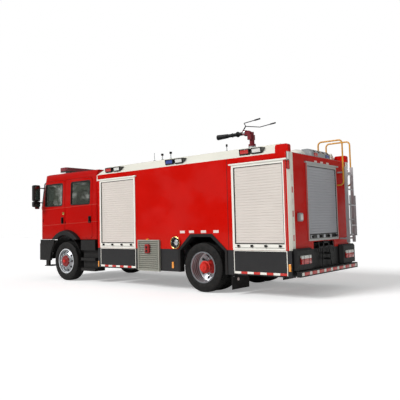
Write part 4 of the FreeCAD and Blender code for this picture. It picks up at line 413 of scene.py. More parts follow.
def pressedLines(f):
    # two long creases that climb to the back across the flank, one at the belt and one over the arch, each
    # with a painted highlight along its ridge
    flank = abs(f.y).above(masks["creaseFlank"])
    for low, high, deep in masks["creases"]:
        line = f.z - f.x.remap(*masks["creaseX"], low, high)
        ridge = line.above(*masks["creaseFoot"]) * (1.0 - line.above(*masks["creaseTop"]))
        f.bump(ridge * flank, deep, looks["creaseDepth"])
        # a lighter line painted along each crease as its highlight
        gleam = line.within(*masks["creaseHighlightBand"]) * flank
        f.overlay(gleam * (looks["paintedHighlightShare"] * deep), "gleam")


def paintDoors():
    # red skin, black grip outside it, grey trim inside
    f, m = paintRed("cabRedPaint", "cabRed"), masks
    out = abs(f.y)
    f.overlay(out.above(*m["gripY"]) * f.z.within(*m["gripZ"]), "blackPlastic")
    f.overlay((out < m["doorInner"]) * (f.z < m["doorLining"]), "liner")
    pressedLines(f)
    return f


def paintCab():
    # red, with a grey lining inward of a shell that leans back with the windscreen and rounds its corners
    f, m = paintRed("cabShellPaint", "cabRed"), masks
    out = abs(f.y)
    lean = ((f.z - m["belt"]) | 0.0) * m["screenLean"]
    ahead, beside = (lean - m["linerX"] - f.x) | 0.0, (out - m["linerY"]) | 0.0
    inside = (out < m["linerHalf"]) * (ahead * ahead + beside * beside < m["linerCorner"] ** 2)
    f.overlay(inside * (f.z < m["linerTop"]) * (f.x < m["linerBack"]), "liner")
    pressedLines(f)
    return f


def paintRims():
    # polished disc, a barrel with rolled steps that mirrors less and has painted highlight and painted shade
    # in bands along its steps, and a red hub, darker on the front wheels
    f = Finish("rimMetal", rough=0.3, metal=1.0)
    toFront, toRear = abs(f.x - place["frontAxleX"]), abs(f.x - place["rearAxleX"])
    radius = calc("MINIMUM", toFront, toRear).distance(f.z - place["axleZ"])
    hub = 1.0 - radius.above(*masks["hub"])
    barrel = radius.above(*masks["barrel"])
    steps = abs(f.y).wave(masks["steps"])
    disc = f.varied("rimDisc", *looks["discPatch"])
    # the barrel's colour swings between painted shade and painted highlight with each rolled step
    metal = barrel.blend(disc, steps.remap(*looks["rollLightBands"]).blend("rollLow", "rollHigh"))
    front, rear = (f.varied(*patch) for patch in looks["hubPatches"])
    red = f.x.above(0.0).blend(front, rear)
    f.color(hub.blend(metal, red))
    f.set("Metallic", 1.0 - hub - barrel * looks["barrelDull"])
    f.wear(f.noise(*looks["rimGrain"]), *looks["rimWear"])
    dull = f.now["Roughness"] + hub * looks["hubRough"] + barrel * looks["barrelRough"]
    f.set("Roughness", dull)
    f.bump(steps * barrel, *looks["barrelRelief"])
    f.bump(radius.wave(masks["turned"]), *looks["turnedRelief"])
    return f


def paintLamps():
    # black roof lamps, a grey row at the back, red and clear tail lamps, two round bowls in each headlamp,
    # each bowl with a painted highlight in its middle that fades to painted shade at its edge
    f, m = Finish("lampLens", rough=0.14, coat=0.5), masks
    headlamp = "lensClear"
    for middle, size in m["bowls"]:
        radius = (abs(f.y) - middle).distance(f.z - m["bowlZ"])
        # painted highlight in the bowl's middle, fading to painted shade at its edge
        bowl = radius.remap(m["bowlDeep"], size).blend("bowlMiddle", "bowlEdge")
        rim = radius.above(size + m["bowlRim"]).blend("bowlRim", headlamp)
        headlamp = radius.above(size).blend(bowl, rim)
    tail = f.z.above(m["tailLine"]).blend("lensRed", "lensClear")
    roof = f.x.above(m["rearLampX"]).blend("blackPlastic", "lampGrey")
    f.color(f.z.above(m["roofLampZ"]).blend((f.x < m["headlampX"]).blend(tail, headlamp), roof))
    f.bump((f.x + f.y).wave(m["lampRibs"]), *looks["lampRelief"])
    return f


def paintBeacon():
    # red lens on a black foot
    f = Finish("beaconLens", rough=0.16, coat=0.6)
    lens = f.z.above(masks["beaconZ"])
    f.color(lens.blend("blackPlastic", f.varied("beaconRed", *looks["beaconPatch"])))
    f.bump(f.y.wave(masks["beaconRibs"]) * lens, *looks["beaconRelief"])
    return f


def glazing():
    f = Finish("cabGlass", rough=0.02, specular=0.8, coat=1.0, coatRough=0.0)
    for name, value in (("IOR", 1.52), ("Coat IOR", 1.9), ("Transmission Weight", 0.92)):
        f.set(name, value)
    # the tint varies in soft patches, a painted mottle that stands in for reflections in the glass
    f.color(f.varied("glass", *looks["glassReflectionMottle"]))
    return f


def finishFrame():
    # each finish with the first words of the names of the CAD nodes that wear it
    table = (
        (paintPlain("blackSteel", "blackSteel", 0.5, 0.04), "chassis_frame front_axle rear_axle powertrain "
         "rear_bumper monitor_barrel knuckle"),
        (moulded("blackMoulding", "blackPlastic"),
         "front_bumper cab_steps wheel_guards cab_trim seats mirrors"),
        (paintPlain("skirtPaint", "skirt", 0.42, 0.04), "skirts step_flap"), (paintCab(), "cab_shell"),
        (paintPale("creamPaint", "cream"), "roof_fairing"), (paintBeacon(), "beacon_bar"),
        (bareMetal("bareAluminium", "aluminium", 0.40), "tanks_and_bottles roof_fittings manhole"),
        (paintPlain("ladderAlloy", "ladder", 0.38, 0.12, 0.06), "rear_ladder fold_ladder"),
        (paintPlain("louvrePaint", "louvre", 0.42, 0.06, 0.06), "louvred_guards"),
        (moulded("tyreRubber", "rubber", 0.78, 180.0), "tyre"), (paintRims(), "rim"), (paintLamps(), "lamps"),
        (moulded("dashMoulding", "dash", 0.6), "dashboard"), (paintDoors(), "door_front door_rear"),
        (bareMetal("chrome", "rim", 0.16), "hose_inlets"), (glazing(), "cab_glass door_glass"),
        (paintPlain("yellowPaint", "yellow", 0.36), "handrails"), (paintPosts(), "corner_posts"),
        (paintPlain("monitorPaint", "monitorRed"), "monitor_swivel"), (paintBodyShell(), "body_shell"),
        (paintShutters(), "shutters"), (paintFrames(), "shutter_frames"),
    )
    bare = set(nodes)
    for finish, starts in table:
        for name in sorted(bare):
            if name.startswith(tuple(starts.split())):
                nodes[name].data.materials.clear()
                nodes[name].data.materials.append(finish.mat)
                bare.remove(name)
    print("painted", len(nodes) - len(bare), "CAD nodes; without a finish:", sorted(bare))


# New pieces are lists of parts, each part an array of points with its faces. In the tables of sizes a plaque
# has width, height, depth, corner, edge, sunk and dome, a disc radius, depth, edge, dome and steps, a nut
# radius and height, and a rounded loop width, height, corner and steps, as far as they are given


def unit(v):
    v = np.asarray(v, float)
    return v / np.linalg.norm(v)


def gridFaces(rows, cols, closedRows=False):
    # a quad between each point of a rows by cols grid and its neighbours, joined round each row
    r, c = np.meshgrid(np.arange(rows if closedRows else rows - 1), np.arange(cols), indexing="ij")
    above, on = (r + 1) % rows, (c + 1) % cols
    return np.stack([r * cols + c, r * cols + on, above * cols + on, above * cols + c], -1).reshape(-1, 4)


def tube(rings, closed=False):
    # loops of points carried along, with a flat cap on each end unless the last meets the first
    rows, cols = rings.shape[:2]
    faces = gridFaces(rows, cols, closed).tolist()
    if not closed:
        faces += [list(range(cols))[::-1], list(range((rows - 1) * cols, rows * cols))]
    return rings.reshape(-1, 3), faces


def roundLoop(width, height, corner, steps=3):
    # round a rectangle: a quarter circle at each corner, in order of its angle
    turn = np.concatenate([np.linspace(0, np.pi / 2, steps + 1) + k * np.pi / 2 for k in range(4)])
    across = np.repeat([1, -1, -1, 1], steps + 1) * (width / 2 - corner)
    along = np.repeat([1, 1, -1, -1], steps + 1) * (height / 2 - corner)
    return np.stack([across + corner * np.cos(turn), along + corner * np.sin(turn)], -1)


def plaque(at, out, width, height, depth, corner=0.004, edge=0.002, sunk=0.003, dome=0.0, rise=upward):
    # rounded rectangle standing proud of a face; its rim is a quarter circle and its front bulges by dome
    out = unit(out)
    across = unit(np.cross(rise, out))
    edge = min(edge, depth * 0.9, width * 0.3, height * 0.3)
    corner = min(corner, width * 0.49, height * 0.49)
    bend = np.linspace(0, np.pi / 2, 3)
    inset = np.concatenate([[0], edge * (1 - np.cos(bend))])
    proud = np.concatenate([[-sunk], depth - edge + edge * np.sin(bend)])
    loops = [roundLoop(width - 2 * i, height - 2 * i, max(corner - i, 0.0003)) for i in inset]
    if dome:
        shrink = np.linspace(0.8, 0.1, 4)
        loops += [loops[-1] * k for k in shrink]
        proud = np.concatenate([proud, depth + dome * (1 - shrink ** 2)])
    flat = np.array(loops)
    return tube(np.asarray(at) + flat[..., :1] * across + flat[..., 1:] * np.cross(out, across)
                + proud[:, None, None] * out)


def lathe(at, axis, profile, steps=28, closed=False, twist=0.0):
    # profile of (along, radius) turned once round the axis
    axis = unit(axis)
    side = unit(np.cross(axis, (0.12, 0.34, 0.93) if abs(axis[2]) < 0.9 else (0.93, 0.12, 0.1)))
    angle = np.linspace(0, 2 * np.pi, steps, endpoint=False) + twist
    ring = np.cos(angle)[:, None] * side + np.sin(angle)[:, None] * np.cross(axis, side)
    along, radius = np.asarray(profile, float).T[..., None, None]
    return tube(np.asarray(at) + along * axis + radius * ring, closed)


def sweep(path, out, profile, closed=False):
    # a profile of (across, outwards) carried along a path, across being the path's direction turned from out
    path, out, profile = (np.asarray(v, float) for v in (path, out, profile))
    ahead = np.roll(path, -1, 0) - np.roll(path, 1, 0)
    if not closed:
        ahead[0], ahead[-1] = path[1] - path[0], path[-1] - path[-2]
    across = np.cross(ahead, out)
    across /= np.linalg.norm(across, axis=1, keepdims=True)
    rings = path[:, None] + profile[None, :, :1] * across[:, None] + profile[None, :, 1:] * unit(out)
    return tube(rings, closed)


def smoothCurve(points, steps):
    # Catmull-Rom curve through the points, the first and last held
    p = np.asarray(points, float)
    p = np.concatenate([[2 * p[0] - p[1]], p, [2 * p[-1] - p[-2]]])
    t = np.linspace(0, 1, steps, endpoint=False)[:, None]
    spans = []
    for a, b, c, d in zip(p[:-3], p[1:-2], p[2:-1], p[3:]):
        square, cube = 2 * a - 5 * b + 4 * c - d, 3 * b - a - 3 * c + d
        spans.append(0.5 * (2 * b + (c - a) * t + square * t ** 2 + cube * t ** 3))
    return np.concatenate(spans + [p[-2:-1]])


def rod(start, end, radius, steps=10):
    # straight round bar with softly rounded ends
    start, end = np.asarray(start, float), np.asarray(end, float)
    length = np.linalg.norm(end - start)
    soft = min(radius * 0.3, length * 0.2)
    profile = [(0, radius - soft), (soft, radius), (length - soft, radius), (length, radius - soft)]
    return lathe(start, end - start, profile, steps)


def strap(start, end, width, thick):
    # straight flat bar facing the back, with rounded long edges
    return sweep([start, end], backward, roundLoop(width, thick, thick * 0.3, 2))


def disc(at, out, radius, depth, edge=0.002, dome=0.0, steps=28):
    # round plate standing proud of a face, its edge rounded and its front bulging by dome
    bend = np.linspace(0, np.pi / 2, 4)
    shrink = np.linspace(0.8, 0.08, 4)
    profile = [(-0.003, radius), *zip(depth - edge + edge * np.sin(bend), radius - edge * (1 - np.cos(bend))),
               *zip(depth + dome * (1 - shrink ** 2), (radius - edge) * shrink)]
    return lathe(at, out, profile, steps)


def nut(at, out, radius, height, twist=0.0):
    # hexagon with its top edge cut back
    profile = [(-0.002, radius), (height * 0.82, radius), (height, radius * 0.8),
               (height * 1.02, radius * 0.2)]
    return lathe(at, out, profile, 6, twist=twist)


def ringOf(centre, radius, count):
    # angles and places round a circle that faces the side
    for a in np.arange(count) * 2 * np.pi / count:
        yield a, centre + radius * np.array([math.cos(a), 0, math.sin(a)])


def touch(name, start, ahead):
    # the place and outward direction where a straight line first meets a CAD node
    hit, at, normal, _ = nodes[name].ray_cast(Vector(start), Vector(ahead))
    if not hit:
        print("nothing of", name, "from", start, "towards", ahead)
        return np.array(start, float), -unit(ahead)
    return np.array(at), np.array(normal)


def fromBack(name, y, z):
    return touch(name, (place["behind"], y, z), forward)


def fromFront(name, y, z):
    return touch(name, (place["ahead"], y, z), backward)


def publish(name, parts, finish, body="chassis", stands=(), soft=40):
    # one mesh of all the parts, its faces turned outwards, smooth but for edges sharper than soft degrees
    starts = np.cumsum([0] + [len(points) for points, _ in parts[:-1]]).tolist()
    faces = [[start + i for i in face] for start, part in zip(starts, parts) for face in part[1]]
    mesh = bpy.data.meshes.new(name)
    mesh.from_pydata(np.concatenate([points for points, _ in parts]).tolist(), [], faces)
    work = bmesh.new()
    work.from_mesh(mesh)
    bmesh.ops.recalc_face_normals(work, faces=work.faces)
    work.to_mesh(mesh)
    work.free()
    mesh.materials.append(finish.mat)
    mesh.polygons.foreach_set("use_smooth", np.ones(len(mesh.polygons), bool))
    mesh.set_sharp_from_angle(angle=math.radians(soft))
    piece = bpy.data.objects.new(name, mesh)
    scene.collection.objects.link(piece)
    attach(piece, body)
    if stands:
        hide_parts(*stands)
    return piece


# Road tyres: a closed cross-section turned round the axle, its tread cut down by grooves
tyre = {
    "around": 360, "grooveDepth": 0.012, "grooveReach": 0.007, "grooveWall": 0.003, "lugWall": 0.004,
    "grooves": (-0.064, -0.022, 0.022, 0.064), "zigzag": 0.004, "lugs": 60, "lugDepth": 0.010,
    "lugHalf": 0.15, "lugSteep": 9, "lugFrom": 0.070, "treadFrom": 0.474,
    "wall": ((-0.1180, 0.3095), (-0.1300, 0.337), (-0.1362, 0.372), (-0.1365, 0.402), (-0.1320, 0.436),
             (-0.1240, 0.462), (-0.1130, 0.4790)), "treadHalf": 0.109, "crown": 0.4893, "drop": 0.0085,
    "dropHalf": 0.112, "seat": 0.2985, "seatY": (0.1095, 0.06, -0.06, -0.1095),
}


def tyreSection():
    # (across, radius): side walls as a smooth curve, then the nearly flat tread, then the seat on the rim
    wall = smoothCurve(tyre["wall"], 4)
    across = np.linspace(-tyre["treadHalf"], tyre["treadHalf"], 47)
    tread = np.stack([across, tyre["crown"] - tyre["drop"] * (across / tyre["dropHalf"]) ** 2], -1)
    return np.concatenate([wall, tread, wall[::-1] * (-1, 1), [(y, tyre["seat"]) for y in tyre["seatY"]]])


def treadedTyre(x, y):
    # radius = section radius less the deepest of the ring grooves and shoulder lugs at that angle and width
    section, count = tyreSection(), tyre["around"]
    angle = np.linspace(0, 2 * np.pi, count, endpoint=False)[:, None]
    across, radius = section[None, :, 0], section[None, :, 1]
    bend = tyre["zigzag"] * np.sin(angle * tyre["lugs"])
    cut = np.zeros((count, len(section)))
    for middle in tyre["grooves"]:
        near = tyre["grooveReach"] - np.abs(across - middle - bend)
        cut = np.maximum(cut, tyre["grooveDepth"] * np.clip(near / tyre["grooveWall"], 0, 1))
    phase = (angle * tyre["lugs"] / (2 * np.pi) + np.where(across > 0, 0.5, 0.0)) % 1.0
    lug = np.clip((tyre["lugHalf"] - np.abs(phase - 0.5)) * tyre["lugSteep"], 0, 1)
    lug = lug * np.clip((np.abs(across) - tyre["lugFrom"]) / tyre["lugWall"], 0, 1)
    cut = np.maximum(cut, tyre["lugDepth"] * lug)
    r = radius - cut * np.clip((radius - tyre["treadFrom"]) / tyre["lugWall"], 0, 1)
    ring = np.stack([x + r * np.cos(angle), y + across + 0 * angle, place["axleZ"] + r * np.sin(angle)], -1)
    return tube(ring.transpose(1, 0, 2), closed=True)


def buildTyres():
    rubber = Finish("roadRubber", rough=0.72, specular=0.25)
    scuffs = rubber.noise(*looks["scuffGrain"]).remap(*looks["scuffTone"])
    rubber.color(scuffs.blend("rubber", "scuff"))
    rubber.wear(rubber.noise(*looks["tyreGrain"]), *looks["tyreWear"])
    rubber.bump(rubber.noise(*looks["tyreSpeck"]), *looks["tyreRelief"])
    wheels = {"front": ("tyre_", ["frontWheelY"]), "rear": ("tyres_", ["rearOuterY", "rearInnerY"])}
    for row, side, tag in corners:
        start, places = wheels[row]
        tyres = [treadedTyre(place[row + "AxleX"], side * place[y]) for y in places]
        publish("treaded_" + start + tag, tyres, rubber, "wheel_" + tag, [start + tag], 35)
    print("tyres with tread on all six wheels")


# Wheel trim: caps over the nuts, a valve, and the bolts and cap of the hub
wheelTrim = {
    "beside": 1.6, "nuts": 10, "nutCircle": 0.178, "cap": (0.0165, 0.012), "valveCircle": 0.262,
    "valveIn": 0.004, "valveOut": 0.03, "valveRadius": 0.0045, "hubBolt": (0.0085, 0.008),
    "hubCap": (0.036, 0.014, 0.005, 0.004), "valveAngle": 0.3, "hubBolts": 8, "hubCircle": 0.047,
    "drumCircle": 0.072, "drumFace": 0.0015,
    "drum": ((-0.082, 0.118), (-0.074, 0.124), (-0.062, 0.124), (-0.056, 0.102), (-0.010, 0.094),
             (0.000, 0.086), (0.0015, 0.060)),
}


def buildWheelTrim():
    bright = bareMetal("nutMetal", "rim", 0.22)
    red = paintPlain("hubPaint", "hubBright", 0.34, 0.12, 0.08)
    t = wheelTrim
    for row, side, tag in corners:
        rim, out = {"front": "rim_", "rear": "rims_"}[row] + tag, np.array([0, side, 0])
        centre = np.array([place[row + "AxleX"], side * t["beside"], place["axleZ"]])
        caps = [nut(touch(rim, spot, -out)[0], out, *t["cap"], a)
                for a, spot in ringOf(centre, t["nutCircle"], t["nuts"])]
        valve = np.array([math.cos(t["valveAngle"]), 0, math.sin(t["valveAngle"])]) * t["valveCircle"]
        at, _ = touch(rim, centre + valve, -out)
        caps.append(rod(at - out * t["valveIn"], at + out * t["valveOut"], t["valveRadius"]))
        publish("wheel_nuts_" + tag, caps, bright, "wheel_" + tag)
        at, _ = touch(rim, centre, -out)
        hub = [disc(at, out, *t["hubCap"])]
        if row == "rear":
            hub.insert(0, lathe(at, out, t["drum"], 40))
            for a, spot in ringOf(centre, t["drumCircle"], t["hubBolts"]):
                spot[1] = at[1] + side * t["drumFace"]
                hub.append(nut(spot, out, *t["hubBolt"], a))
        else:
            hub += [nut(*touch(rim, spot, -out), *t["hubBolt"], a)
                    for a, spot in ringOf(centre, t["hubCircle"], t["hubBolts"])]
        publish("hub_cap_" + tag, hub, red, "wheel_" + tag)
    print("nut caps, valves and hub caps")


# Step flaps: white edge strips and the red and white row of blocks along the foot
flapTrim = {
    "inset": 0.006, "strip": 0.014, "proud": 0.003, "low": 0.408, "high": 0.840, "gap": 0.002,
    "block": 0.132, "blockHigh": 0.042, "blockLift": 0.004, "blockGap": 0.0015, "blockProud": 0.0018,
    "blockEdge": (0.001, 0.0006),
}


def buildFlapTrim(white, redBlock):
    t = flapTrim
    edge, tall = t["strip"], t["high"] - t["low"]
    z = t["low"] + t["blockLift"] + t["blockHigh"] / 2
    for row, side, tag in corners:
        x0, width = place[row + "Shutter"]
        start, stop = x0 + t["inset"], x0 + width - t["inset"]
        y, out = side * place["halfWidth"], (0, side, 0)
        strips = [plaque((x, y, t["low"] + tall / 2), out, edge, tall, t["proud"])
                  for x in (start + edge / 2, stop - edge / 2)]
        middle, clear = (start + stop) / 2, stop - start - 2 * edge
        strips.append(plaque((middle, y, t["high"] - edge / 2), out, clear - 0.001, edge, t["proud"]))
        inner = clear - 2 * t["gap"]
        count = round(inner / t["block"])
        wide = inner / count
        places = start + edge + t["gap"] + (np.arange(count) + 0.5) * wide
        size = (wide - t["blockGap"], t["blockHigh"], t["blockProud"], *t["blockEdge"])
        blocks = [plaque((x, y, z), out, *size) for x in places]
        publish("flap_strips_" + tag, strips + blocks[::2], white, "step_flap_" + tag)
        publish("flap_blocks_" + tag, blocks[1::2], redBlock, "step_flap_" + tag)
    print("flap strips and blocks")


# Shutter openings: rubber seals inside the frame, a dark strip under the drip rail as its painted shadow, and
# the bar's catches
shutterTrim = {
    "frame": 0.046, "low": 0.846, "high": 2.424, "back": (1.28, 0.985, 2.410), "bar": 0.062,
    "sillProud": 0.0155, "seals": (0.020, 0.014, 0.012, 0.016, 0.008), "sealEdge": (0.002, 0.003, 0.012),
    "sillEdge": (0.002, 0.001, 0.003), "proud": 0.006, "dripShadowLine": (0.005, 0.028, 0.002, 2), "dripShadowOut": 0.012,
    "pinGap": 0.006, "dripShadowY": 1.2505, "dripShadowRise": 0.0265, "dripShadowBeyond": 0.03,
    "catchShares": (0.08, 0.36, 0.64, 0.92), "catch": (0.036, 0.040, 0.0455, 0.006, 0.004, -0.010),
    "pinOut": 0.026, "pin": (0.014, 0.008),
}


def shutterParts(origin, along, out, width, low, high):
    # seals down both uprights, along the head and over and under the bar, and over each bracket of the bar a
    # block with a small pin beside it
    t = shutterTrim
    origin, along, out = (np.asarray(v, float) for v in (origin, along, out))
    half = width / 2 - t["frame"]
    foot, head = low + t["frame"] + t["bar"], high - t["frame"]
    wide, thin, over, under, sill = t["seals"]
    proud, edge = t["proud"], t["sealEdge"]
    # place across and up, width, height, depth and edge
    rows = (
        (wide / 2 - half, (foot + head) / 2, wide, head - foot, proud, edge),
        (half - thin / 2, (foot + head) / 2, thin, head - foot, proud, edge),
        (0, head - over / 2, 2 * half, over, proud, edge),
        (0, foot + under / 2, 2 * half, under, 2 * proud, edge),
        (0, low + t["frame"] - sill / 2, 2 * half, sill, t["sillProud"], t["sillEdge"]),
    )
    seals = [plaque(origin + along * across + (0, 0, z), out, width, height, depth, *edge)
             for across, z, width, height, depth, edge in rows]
    catches = []
    for share in t["catchShares"]:
        at = origin + along * (2 * share - 1) * half + (0, 0, foot - t["bar"] / 2)
        catches.append(plaque(at, out, *t["catch"]))
        pin = at + along * (t["catch"][0] * 0.5 + t["pinGap"]) + out * t["pinOut"]
        catches.append(rod(pin, pin + along * t["pin"][0], t["pin"][1]))
    return seals, catches


def buildShutterTrim(rubber, black):
    t = shutterTrim
    seals, catches = [], []
    for row, side, _ in corners:
        x0, width = place[row + "Shutter"]
        origin, out = (x0 + width / 2, side * place["halfWidth"], 0), (0, side, 0)
        more = shutterParts(origin, (-side, 0, 0), out, width, t["low"], t["high"])
        ends = (x0 - t["dripShadowBeyond"], x0 + width + t["dripShadowBeyond"])
        # a dark rubber strip just under the drip rail stands in for the rail's shadow, as painted shade
        line = [(x, side * t["dripShadowY"], t["high"] + t["dripShadowRise"]) for x in ends]
        seals += more[0] + [sweep(line, out, roundLoop(*t["dripShadowLine"]) + (0, t["dripShadowOut"]))]
        catches += more[1]
    more = shutterParts((place["bodyRearX"], 0, 0), (0, 1, 0), backward, *t["back"])
    publish("shutter_seals_and_drip_shadow", seals + more[0], rubber)
    publish("shutter_catches", catches + more[1], black)
    print("shutter seals and catches")


# Sides: reflectors over the arch, side markers, the guard's switch box and lamp, and the inlet caps
sideTrim = {
    "beside": 1.7, "dashX": (1.28, 1.52, 1.83, 2.139), "dashZ": 1.190, "dash": (0.130, 0.052, 0.004),
    "markerY": 1.250, "markers": ((-1.363, 0.470, 0.030), (1.006, 0.515, 0.050), (3.722, 0.552, 0.046)),
    "marker": (0.130, 0.014, 0.008, 0.004, 0.004, 0.003), "guardZ": 1.018, "switchX": 0.315,
    "switchZ": 0.845, "switch": (0.125, 0.190, 0.034, 0.018, 0.010, 0.020, 0.004),
    "knob": (0.026, 0.016, 0.004, 0.004), "lamp": (0.034, 0.022, 0.010, 0.008),
    "cap": (0.060, 0.034, 0.008, 0.006, 32), "capBar": (0.052, 0.040, 0.009), "bolt": (0.008, 0.006),
    "boltOut": 0.003, "seam": (0.008, 0.004, 0.001, 2), "knobZ": (-0.045, 0.030), "lampX": 0.300,
    "lampZ": 1.030, "lampIn": 0.022, "inlet": (1.100, 1.280, 0.975), "capIn": 0.052, "boltCircle": 0.092,
    "seamX": 2.432, "seamY": 1.2502, "seamZ": (0.85, 2.556),
    "ring": ((0.002, 0.110), (0.010, 0.112), (0.014, 0.119), (0.011, 0.1255), (-0.004, 0.127),
             (-0.006, 0.111)),
    "well": ((-0.060, 0.074), (-0.056, 0.0745), (0.0015, 0.0745), (0.003, 0.078), (0.003, 0.106),
             (0.0015, 0.109), (-0.062, 0.076)),
}


def buildSides(pearl, amber, fitting, gold, steel, black):
    t = sideTrim
    dashes, markers, lamps, boxes, knobs, rings, wells, caps, seams = ([] for _ in range(9))
    for side, _ in sides:
        out = np.array([0, side, 0])
        dashes += [plaque(*touch("body_shell", (x, side * t["beside"], t["dashZ"]), -out), *t["dash"])
                   for x in t["dashX"]]
        markers += [plaque((x, side * t["markerY"], z), out, wide, *t["marker"])
                    for x, z, wide in t["markers"]]
        guard = touch("louvred_guards", (t["switchX"], side * t["beside"], t["guardZ"]), -out)[0][1]
        at = np.array([t["switchX"], guard, t["switchZ"]])
        boxes.append(plaque(at, out, *t["switch"]))
        knobs += [disc(at + out * t["switch"][2] + (0, 0, z), out, *t["knob"]) for z in t["knobZ"]]
        at = (t["lampX"], guard - side * t["lampIn"], t["lampZ"])
        lamps.append(disc(at, upward, *t["lamp"]))
        centre = np.array(t["inlet"]) * (1, side, 1)
        rings.append(lathe(centre, out, t["ring"], 48, closed=True))
        wells.append(lathe(centre, out, t["well"], 40, closed=True))
        at = centre - out * t["capIn"]
        half, stand, thick = t["capBar"]
        ends = [at + (x, side * stand, 0) for x in (-half, half)]
        caps += [disc(at, out, *t["cap"]), rod(*ends, thick)]
        caps += [nut(spot + out * t["boltOut"], out, *t["bolt"], a)
                 for a, spot in ringOf(centre, t["boltCircle"], 6)]
        line = [(t["seamX"], side * t["seamY"], z) for z in t["seamZ"]]
        seams.append(sweep(line, out, roundLoop(*t["seam"])))
    publish("side_reflectors", dashes, pearl)
    publish("side_markers", markers, amber)
    publish("guard_lamps", lamps, amber)
    publish("guard_switch_boxes", boxes, fitting)
    publish("guard_switch_knobs", knobs, black)
    publish("inlet_rings", rings, gold)
    publish("inlet_wells", wells, black)
    publish("inlet_caps", caps, steel)
    publish("body_seams", seams, black)
    print("side reflectors, markers, guard fittings, inlet caps and body seams")


# Roof: lamp lenses along both sides, whip and post aerials and the dome at the back
roofTrim = {
    "lamps": ((-1.118, "red"), (-0.830, "clear"), (0.820, "blue"), (1.085, "clear"), (2.722, "red"),
              (2.985, "clear")), "lampHalf": 0.1125, "beside": 1.8, "overhead": 3.2,
    "bezel": (-0.004, 0.006, 0.011, -0.004), "lampZ": 2.652,
    "lens": (0.184, 0.070, 0.008, 0.010, 0.004, 0.004, 0.004), "foot": (0.024, 0.016, 0.004, 0.004, 16),
    "head": (0.050, 0.045, 0.030, 0.008, 0.006), "headAt": (-0.014, -0.018),
    "postFoot": (0.022, 0.012, 0.004, 0.003, 16), "postHead": (0.030, 0.050, 0.022, 0.006, 0.005),
    "postHeadX": 2.280, "outer": (0.222, 0.106, 0.014), "inner": (0.190, 0.076, 0.008), "aerialY": -1.030,
    "thick": 0.008, "postX": 2.290, "postTop": 2.860,
    "aerials": ((0.31, 2.93, 0.006), (0.55, 2.885, 0.011), (0.80, 2.900, 0.010)),
    "domeAt": (3.560, -0.600, 3.2), "dome": (0.165, 0.030, 0.085),
}


def buildSideLamps(lenses, bezel):
    t = roofTrim
    parts, frames = {"red": [], "blue": [], "clear": []}, []
    outer, inner = roundLoop(*t["outer"]), roundLoop(*t["inner"])
    for side, _ in sides:
        for start, tint in t["lamps"]:
            at, out = touch("lamps", (start + t["lampHalf"], side * t["beside"], t["lampZ"]), (0, -side, 0))
            parts[tint].append(plaque(at, out, *t["lens"]))
            across = unit(np.cross(upward, out))
            rings = [at + loop[:, :1] * across + loop[:, 1:] * np.cross(out, across) + rise * out
                     for loop, rise in zip((outer, outer, inner, inner), t["bezel"])]
            frames.append(tube(np.array(rings), closed=True))
    for tint, pieces in parts.items():
        publish("side_lamp_lenses_" + tint, pieces, lenses[tint])
    publish("side_lamp_bezels", frames, bezel)


def buildRoofFittings(white, black, steel):
    t = roofTrim
    y = t["aerialY"]
    masts, heads = [], []
    for x, top, radius in t["aerials"]:
        at, _ = touch("roof_fairing", (x, y, t["overhead"]), downward)
        masts += [disc(at, upward, *t["foot"]), rod(at, (x, y, top), radius)]
        if radius > t["thick"]:
            heads.append(plaque((x + t["headAt"][0], y, top + t["headAt"][1]), backward, *t["head"]))
    x, top = t["postX"], t["postTop"]
    at, _ = touch("roof_fairing", (x, y, t["overhead"]), downward)
    masts += [rod(at, (x, y, top), t["thick"]), disc(at, upward, *t["postFoot"])]
    heads.append(plaque((t["postHeadX"], y, top), backward, *t["postHead"]))
    at, _ = touch("body_shell", t["domeAt"], downward)
    radius, foot, rise = t["dome"]
    bend = np.linspace(0, np.pi / 2 * 0.97, 9)
    profile = [(-0.003, radius), *zip(foot + rise * np.sin(bend), radius * np.cos(bend))]
    publish("roof_aerials", masts, steel)
    publish("roof_aerial_heads", heads, black)
    publish("roof_dome", [lathe(at, upward, profile, 36)], white)
    print("roof aerials, posts and dome")


# Monitor: bolts round its foot, caps on the elbow's pivot, rings on the barrel
monitorTrim = {
    "x": 2.200, "beside": 0.4, "overhead": 3.6, "above": 2.955, "bolts": 8, "boltCircle": 0.096,
    "boltTurn": 0.2, "bolt": (0.011, 0.010), "cap": (0.034, 0.012, 0.004, 0.004, 20),
    "capNut": (0.016, 0.012), "elbowX": 2.050, "elbowZ": 3.262, "rings": (1.840, 1.700, 1.565),
    "ring": ((-0.010, -0.004), (-0.010, 0.005), (-0.006, 0.009), (0.006, 0.009), (0.010, 0.005),
             (0.010, -0.004)),
}


def buildMonitorTrim(steel, black):
    t = monitorTrim
    bolts, caps, rings = [], [], []
    for a in np.arange(t["bolts"]) * 2 * np.pi / t["bolts"] + t["boltTurn"]:
        x, y = t["x"] + t["boltCircle"] * math.cos(a), t["boltCircle"] * math.sin(a)
        at, _ = touch("roof_fittings", (x, y, t["above"]), downward)
        bolts.append(nut((x, y, at[2]), upward, *t["bolt"], a))
    for side, _ in sides:
        out = np.array([0, side, 0])
        at, _ = touch("monitor_swivel", (t["elbowX"], side * t["beside"], t["elbowZ"]), -out)
        caps += [disc(at, out, *t["cap"]), nut(at + out * t["cap"][1], out, *t["capNut"])]
    for x in t["rings"]:
        radius = touch("monitor_barrel", (x, 0, t["overhead"]), downward)[0][2] - t["elbowZ"]
        rings.append(lathe((x, 0, t["elbowZ"]), backward, np.array(t["ring"]) + (0, radius), 30, closed=True))
    publish("monitor_foot_bolts", bolts, steel)
    publish("monitor_pivot_caps", caps, steel, "monitor_swivel")
    publish("monitor_barrel_rings", rings, black, "monitor_barrel")
    print("monitor bolts, caps and rings")


